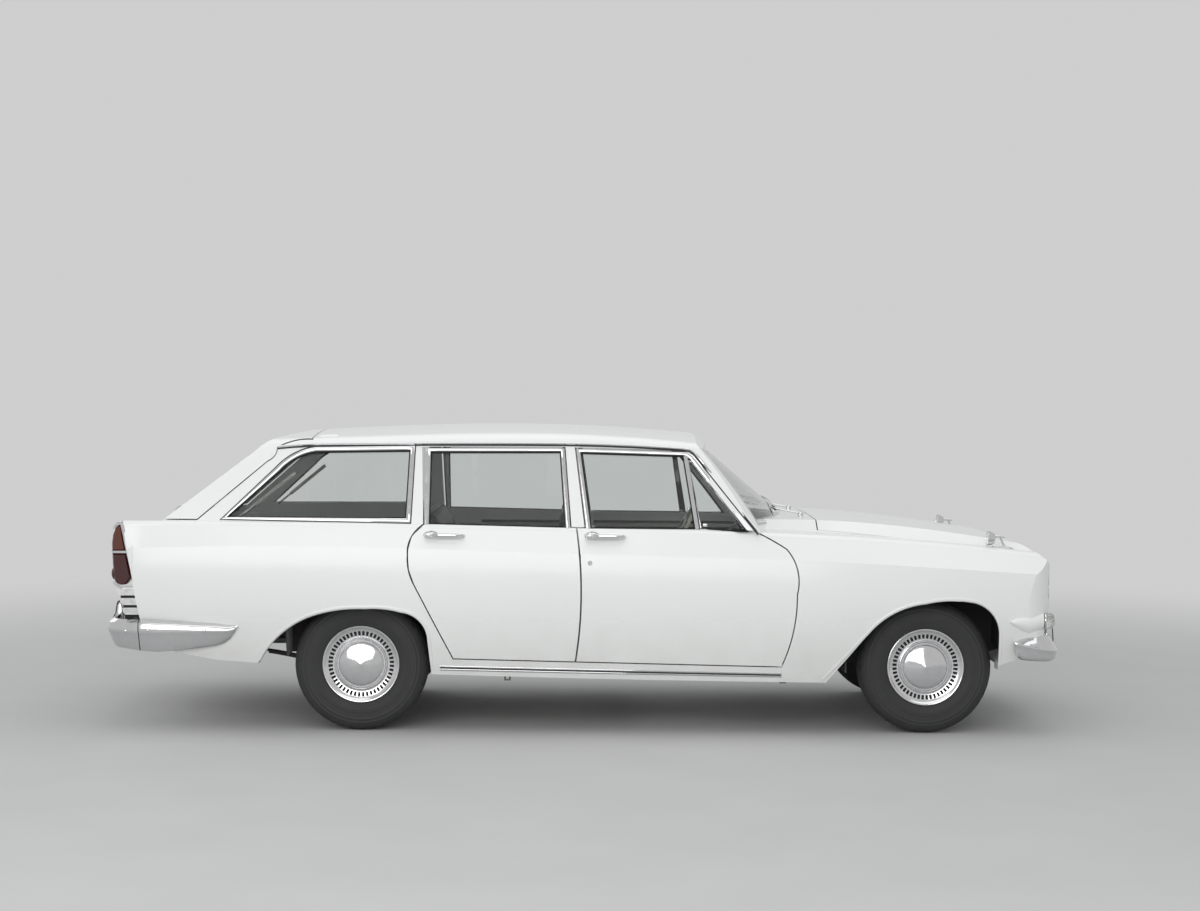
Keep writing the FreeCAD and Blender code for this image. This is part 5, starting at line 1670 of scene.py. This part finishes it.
def door_cards():
    for name, x0, x1 in (("front", 0.06, 0.93), ("rear", -0.56, -0.10)):
        shape = Shape()
        z0, z1 = 0.42, 0.935
        rows = []
        for i in range(15):
            z = z0 + (z1 - z0) * i / 14
            for j in range(15):
                x = x0 + (x1 - x0) * j / 14
                if name == "rear" and z < 0.66:
                    x = max(x, -0.56 + (0.66 - z) * 0.5)
                rows.append(Vector((x, inner_y(x, z) + 0.002, z)))
        shape.add(*slab(rows, 15, 15, (0, -0.004, 0)), CARD)
        for z in (0.74, 0.80):
            line = [(x, inner_y(x, z) + 0.006, z) for x in (x0 + 0.02, 0.5 * (x0 + x1), x1 - 0.02)]
            shape.add(*sweep(refine(line, 0.1), [(0.002, -0.005), (0.004, 0.0), (0.002, 0.005),
                                                 (-0.003, 0.004), (-0.003, -0.004)], (0, 1, 0)), CHROME)
        ax = x0 + 0.30 * (x1 - x0)
        rest = [(ax + a, inner_y(ax + b, 0.70) + stand, z) for a, b, stand, z in ARM_REST]
        shape.add(*tube(curve_through(rest, 5), 0.013, 12), VINYL)
        for hx, hz in ((x1 - 0.16, 0.66), (x1 - 0.30, 0.60)):
            y = inner_y(hx, hz)
            shape.add(*lathe([(0.0, 0.016), (0.010, 0.015), (0.014, 0.008), (0.018, 0.0), (0.0, -0.002)],
                             (hx, y, hz), (0, 1, 0), 24), CHROME)
            shape.add(*tube([(hx, y + 0.012, hz), (hx - 0.05, y + 0.018, hz - 0.02),
                             (hx - 0.075, y + 0.018, hz - 0.028)], 0.0045, 10), CHROME)
        sided("door_%s_card" % name, shape, "door_%s_%%s" % name)


INNER = surface_tree([n for n in NODES if n.startswith("door_") and "glass" not in n and n != "door_posts"])


def inner_y(x, z):
    """The inner face of the right-hand doors."""
    hit = INNER.ray_cast(Vector((x, 0.0, z)), Vector((0, -1, 0)))[0]
    return hit.y if hit is not None else -0.75


def load_bay_parts():
    shape = Shape()
    for x in [-1.90 + 0.16 * k for k in range(7)]:
        shape.add(*bevel_box((x - 0.006, -0.50, 0.541), (x + 0.006, 0.50, 0.546), 0.002, 2), BRIGHT)
    shape.build("load_floor_strips", "body")
    stay = Shape()
    # Telescopic stays of the tailgate, lying folded along its flanks
    for s in (-1, 1):
        a, b = Vector((-1.400, s * 0.585, 1.235)), Vector((-1.590, s * 0.610, 1.080))
        stay.add(*tube([a, b], 0.009, 12), LINING)
        stay.add(*tube([b, b + (b - a).normalized() * 0.09], 0.005, 10), CHROME)
    stay.build("tailgate_stays", "body")


arrange = [window_trim, drip_rails, arch_lips, sill_trim, door_handles, wheels, tail_lamps, rear_bumper,
           front_bumper, headlamps, grille, nose_strip, side_lamps, mirrors, end_windows, wipers,
           tailgate_parts, front_plate, exhaust, rear_axle, rails, seats, steering_wheel, dashboard,
           roof_lining, door_cards, load_bay_parts]
for make in arrange:
    make()


# Stage: a pale floor that runs into a plain background, and soft light
BACKGROUND = 0.62
FLOOR_HALF = 60
FADE_FROM, FADE_TO = 3.2, 9.0
WORLD_LIGHT = 0.62
SEEN_RAYS = ("Is Camera Ray", "Is Glossy Ray", "Is Transmission Ray")


def seen_factor(nodes, links):
    """One for what the camera sees, straight, in metal or through glass, and nought for light on surfaces."""
    rays = nodes.new("ShaderNodeLightPath")
    total = rays.outputs[SEEN_RAYS[0]]
    for name in SEEN_RAYS[1:]:
        total = maths(nodes, links, "MAXIMUM", total, rays.outputs[name]).outputs["Value"]
    return total


floor_mesh = bpy.data.meshes.new("floor")
corners = [(a * FLOOR_HALF, b * FLOOR_HALF, 0) for a, b in ((-1, -1), (1, -1), (1, 1), (-1, 1))]
floor_mesh.from_pydata(corners, [], [(0, 1, 2, 3)])
floor = bpy.data.objects.new("floor", floor_mesh)
bpy.context.scene.collection.objects.link(floor)
FLOOR = surface("floor", (0.52, 0.52, 0.515), vary=0.02, scale=2, rough=0.8, rough_vary=0.03)
tree = FLOOR.node_tree
far_coord = tree.nodes.new("ShaderNodeTexCoord")
far_length = tree.nodes.new("ShaderNodeVectorMath")
far_length.operation = "LENGTH"
tree.links.new(far_coord.outputs["Object"], far_length.inputs[0])
far = tree.nodes.new("ShaderNodeMapRange")
far.interpolation_type = "SMOOTHSTEP"
settings(far, {"From Min": FADE_FROM, "From Max": FADE_TO})
tree.links.new(far_length.outputs["Value"], far.inputs["Value"])
far_seen = maths(tree.nodes, tree.links, "MULTIPLY", far.outputs["Result"],
                 seen_factor(tree.nodes, tree.links))
plain = tree.nodes.new("ShaderNodeEmission")
plain.inputs["Color"].default_value = grey(BACKGROUND)
blend = tree.nodes.new("ShaderNodeMixShader")
tree.links.new(far_seen.outputs["Value"], blend.inputs["Fac"])
tree.links.new(tree.nodes["Principled BSDF"].outputs["BSDF"], blend.inputs[1])
tree.links.new(plain.outputs["Emission"], blend.inputs[2])
tree.links.new(blend.outputs["Shader"], tree.nodes["Material Output"].inputs["Surface"])
floor_mesh.materials.append(FLOOR)

world = bpy.data.worlds.new("world")
bpy.context.scene.world = world
world.use_nodes = True
wn, wl = world.node_tree.nodes, world.node_tree.links
back = wn["Background"]
settings(back, {"Color": (0.97, 0.99, 1.0, 1), "Strength": WORLD_LIGHT})
seen = wn.new("ShaderNodeBackground")
seen.inputs["Color"].default_value = grey(BACKGROUND)
mix_world = wn.new("ShaderNodeMixShader")
wl.new(seen_factor(wn, wl), mix_world.inputs["Fac"])
wl.new(back.outputs["Background"], mix_world.inputs[1])
wl.new(seen.outputs["Background"], mix_world.inputs[2])
wl.new(mix_world.outputs["Shader"], wn["World Output"].inputs["Surface"])


def area_light(name, at, target, size, size_y, energy):
    data = bpy.data.lights.new(name, "AREA")
    data.shape = "RECTANGLE"
    data.energy = energy
    data.size = size
    data.size_y = size_y
    obj = bpy.data.objects.new(name, data)
    bpy.context.scene.collection.objects.link(obj)
    obj.location = at
    obj.rotation_euler = (Vector(target) - Vector(at)).to_track_quat("-Z", "Y").to_euler()


area_light("overhead", (0.5, -1.5, 6.5), (0, 0, 0.5), 9.0, 6.0, 120)
area_light("camera side", (-2.0, -10.0, 3.6), (0, 0, 0.7), 9.0, 5.0, 400)
area_light("rear fill", (-7.0, 7.5, 4.5), (0, 0, 0.7), 7.0, 4.0, 70)

bpy.context.scene.view_settings.view_transform = "Standard"
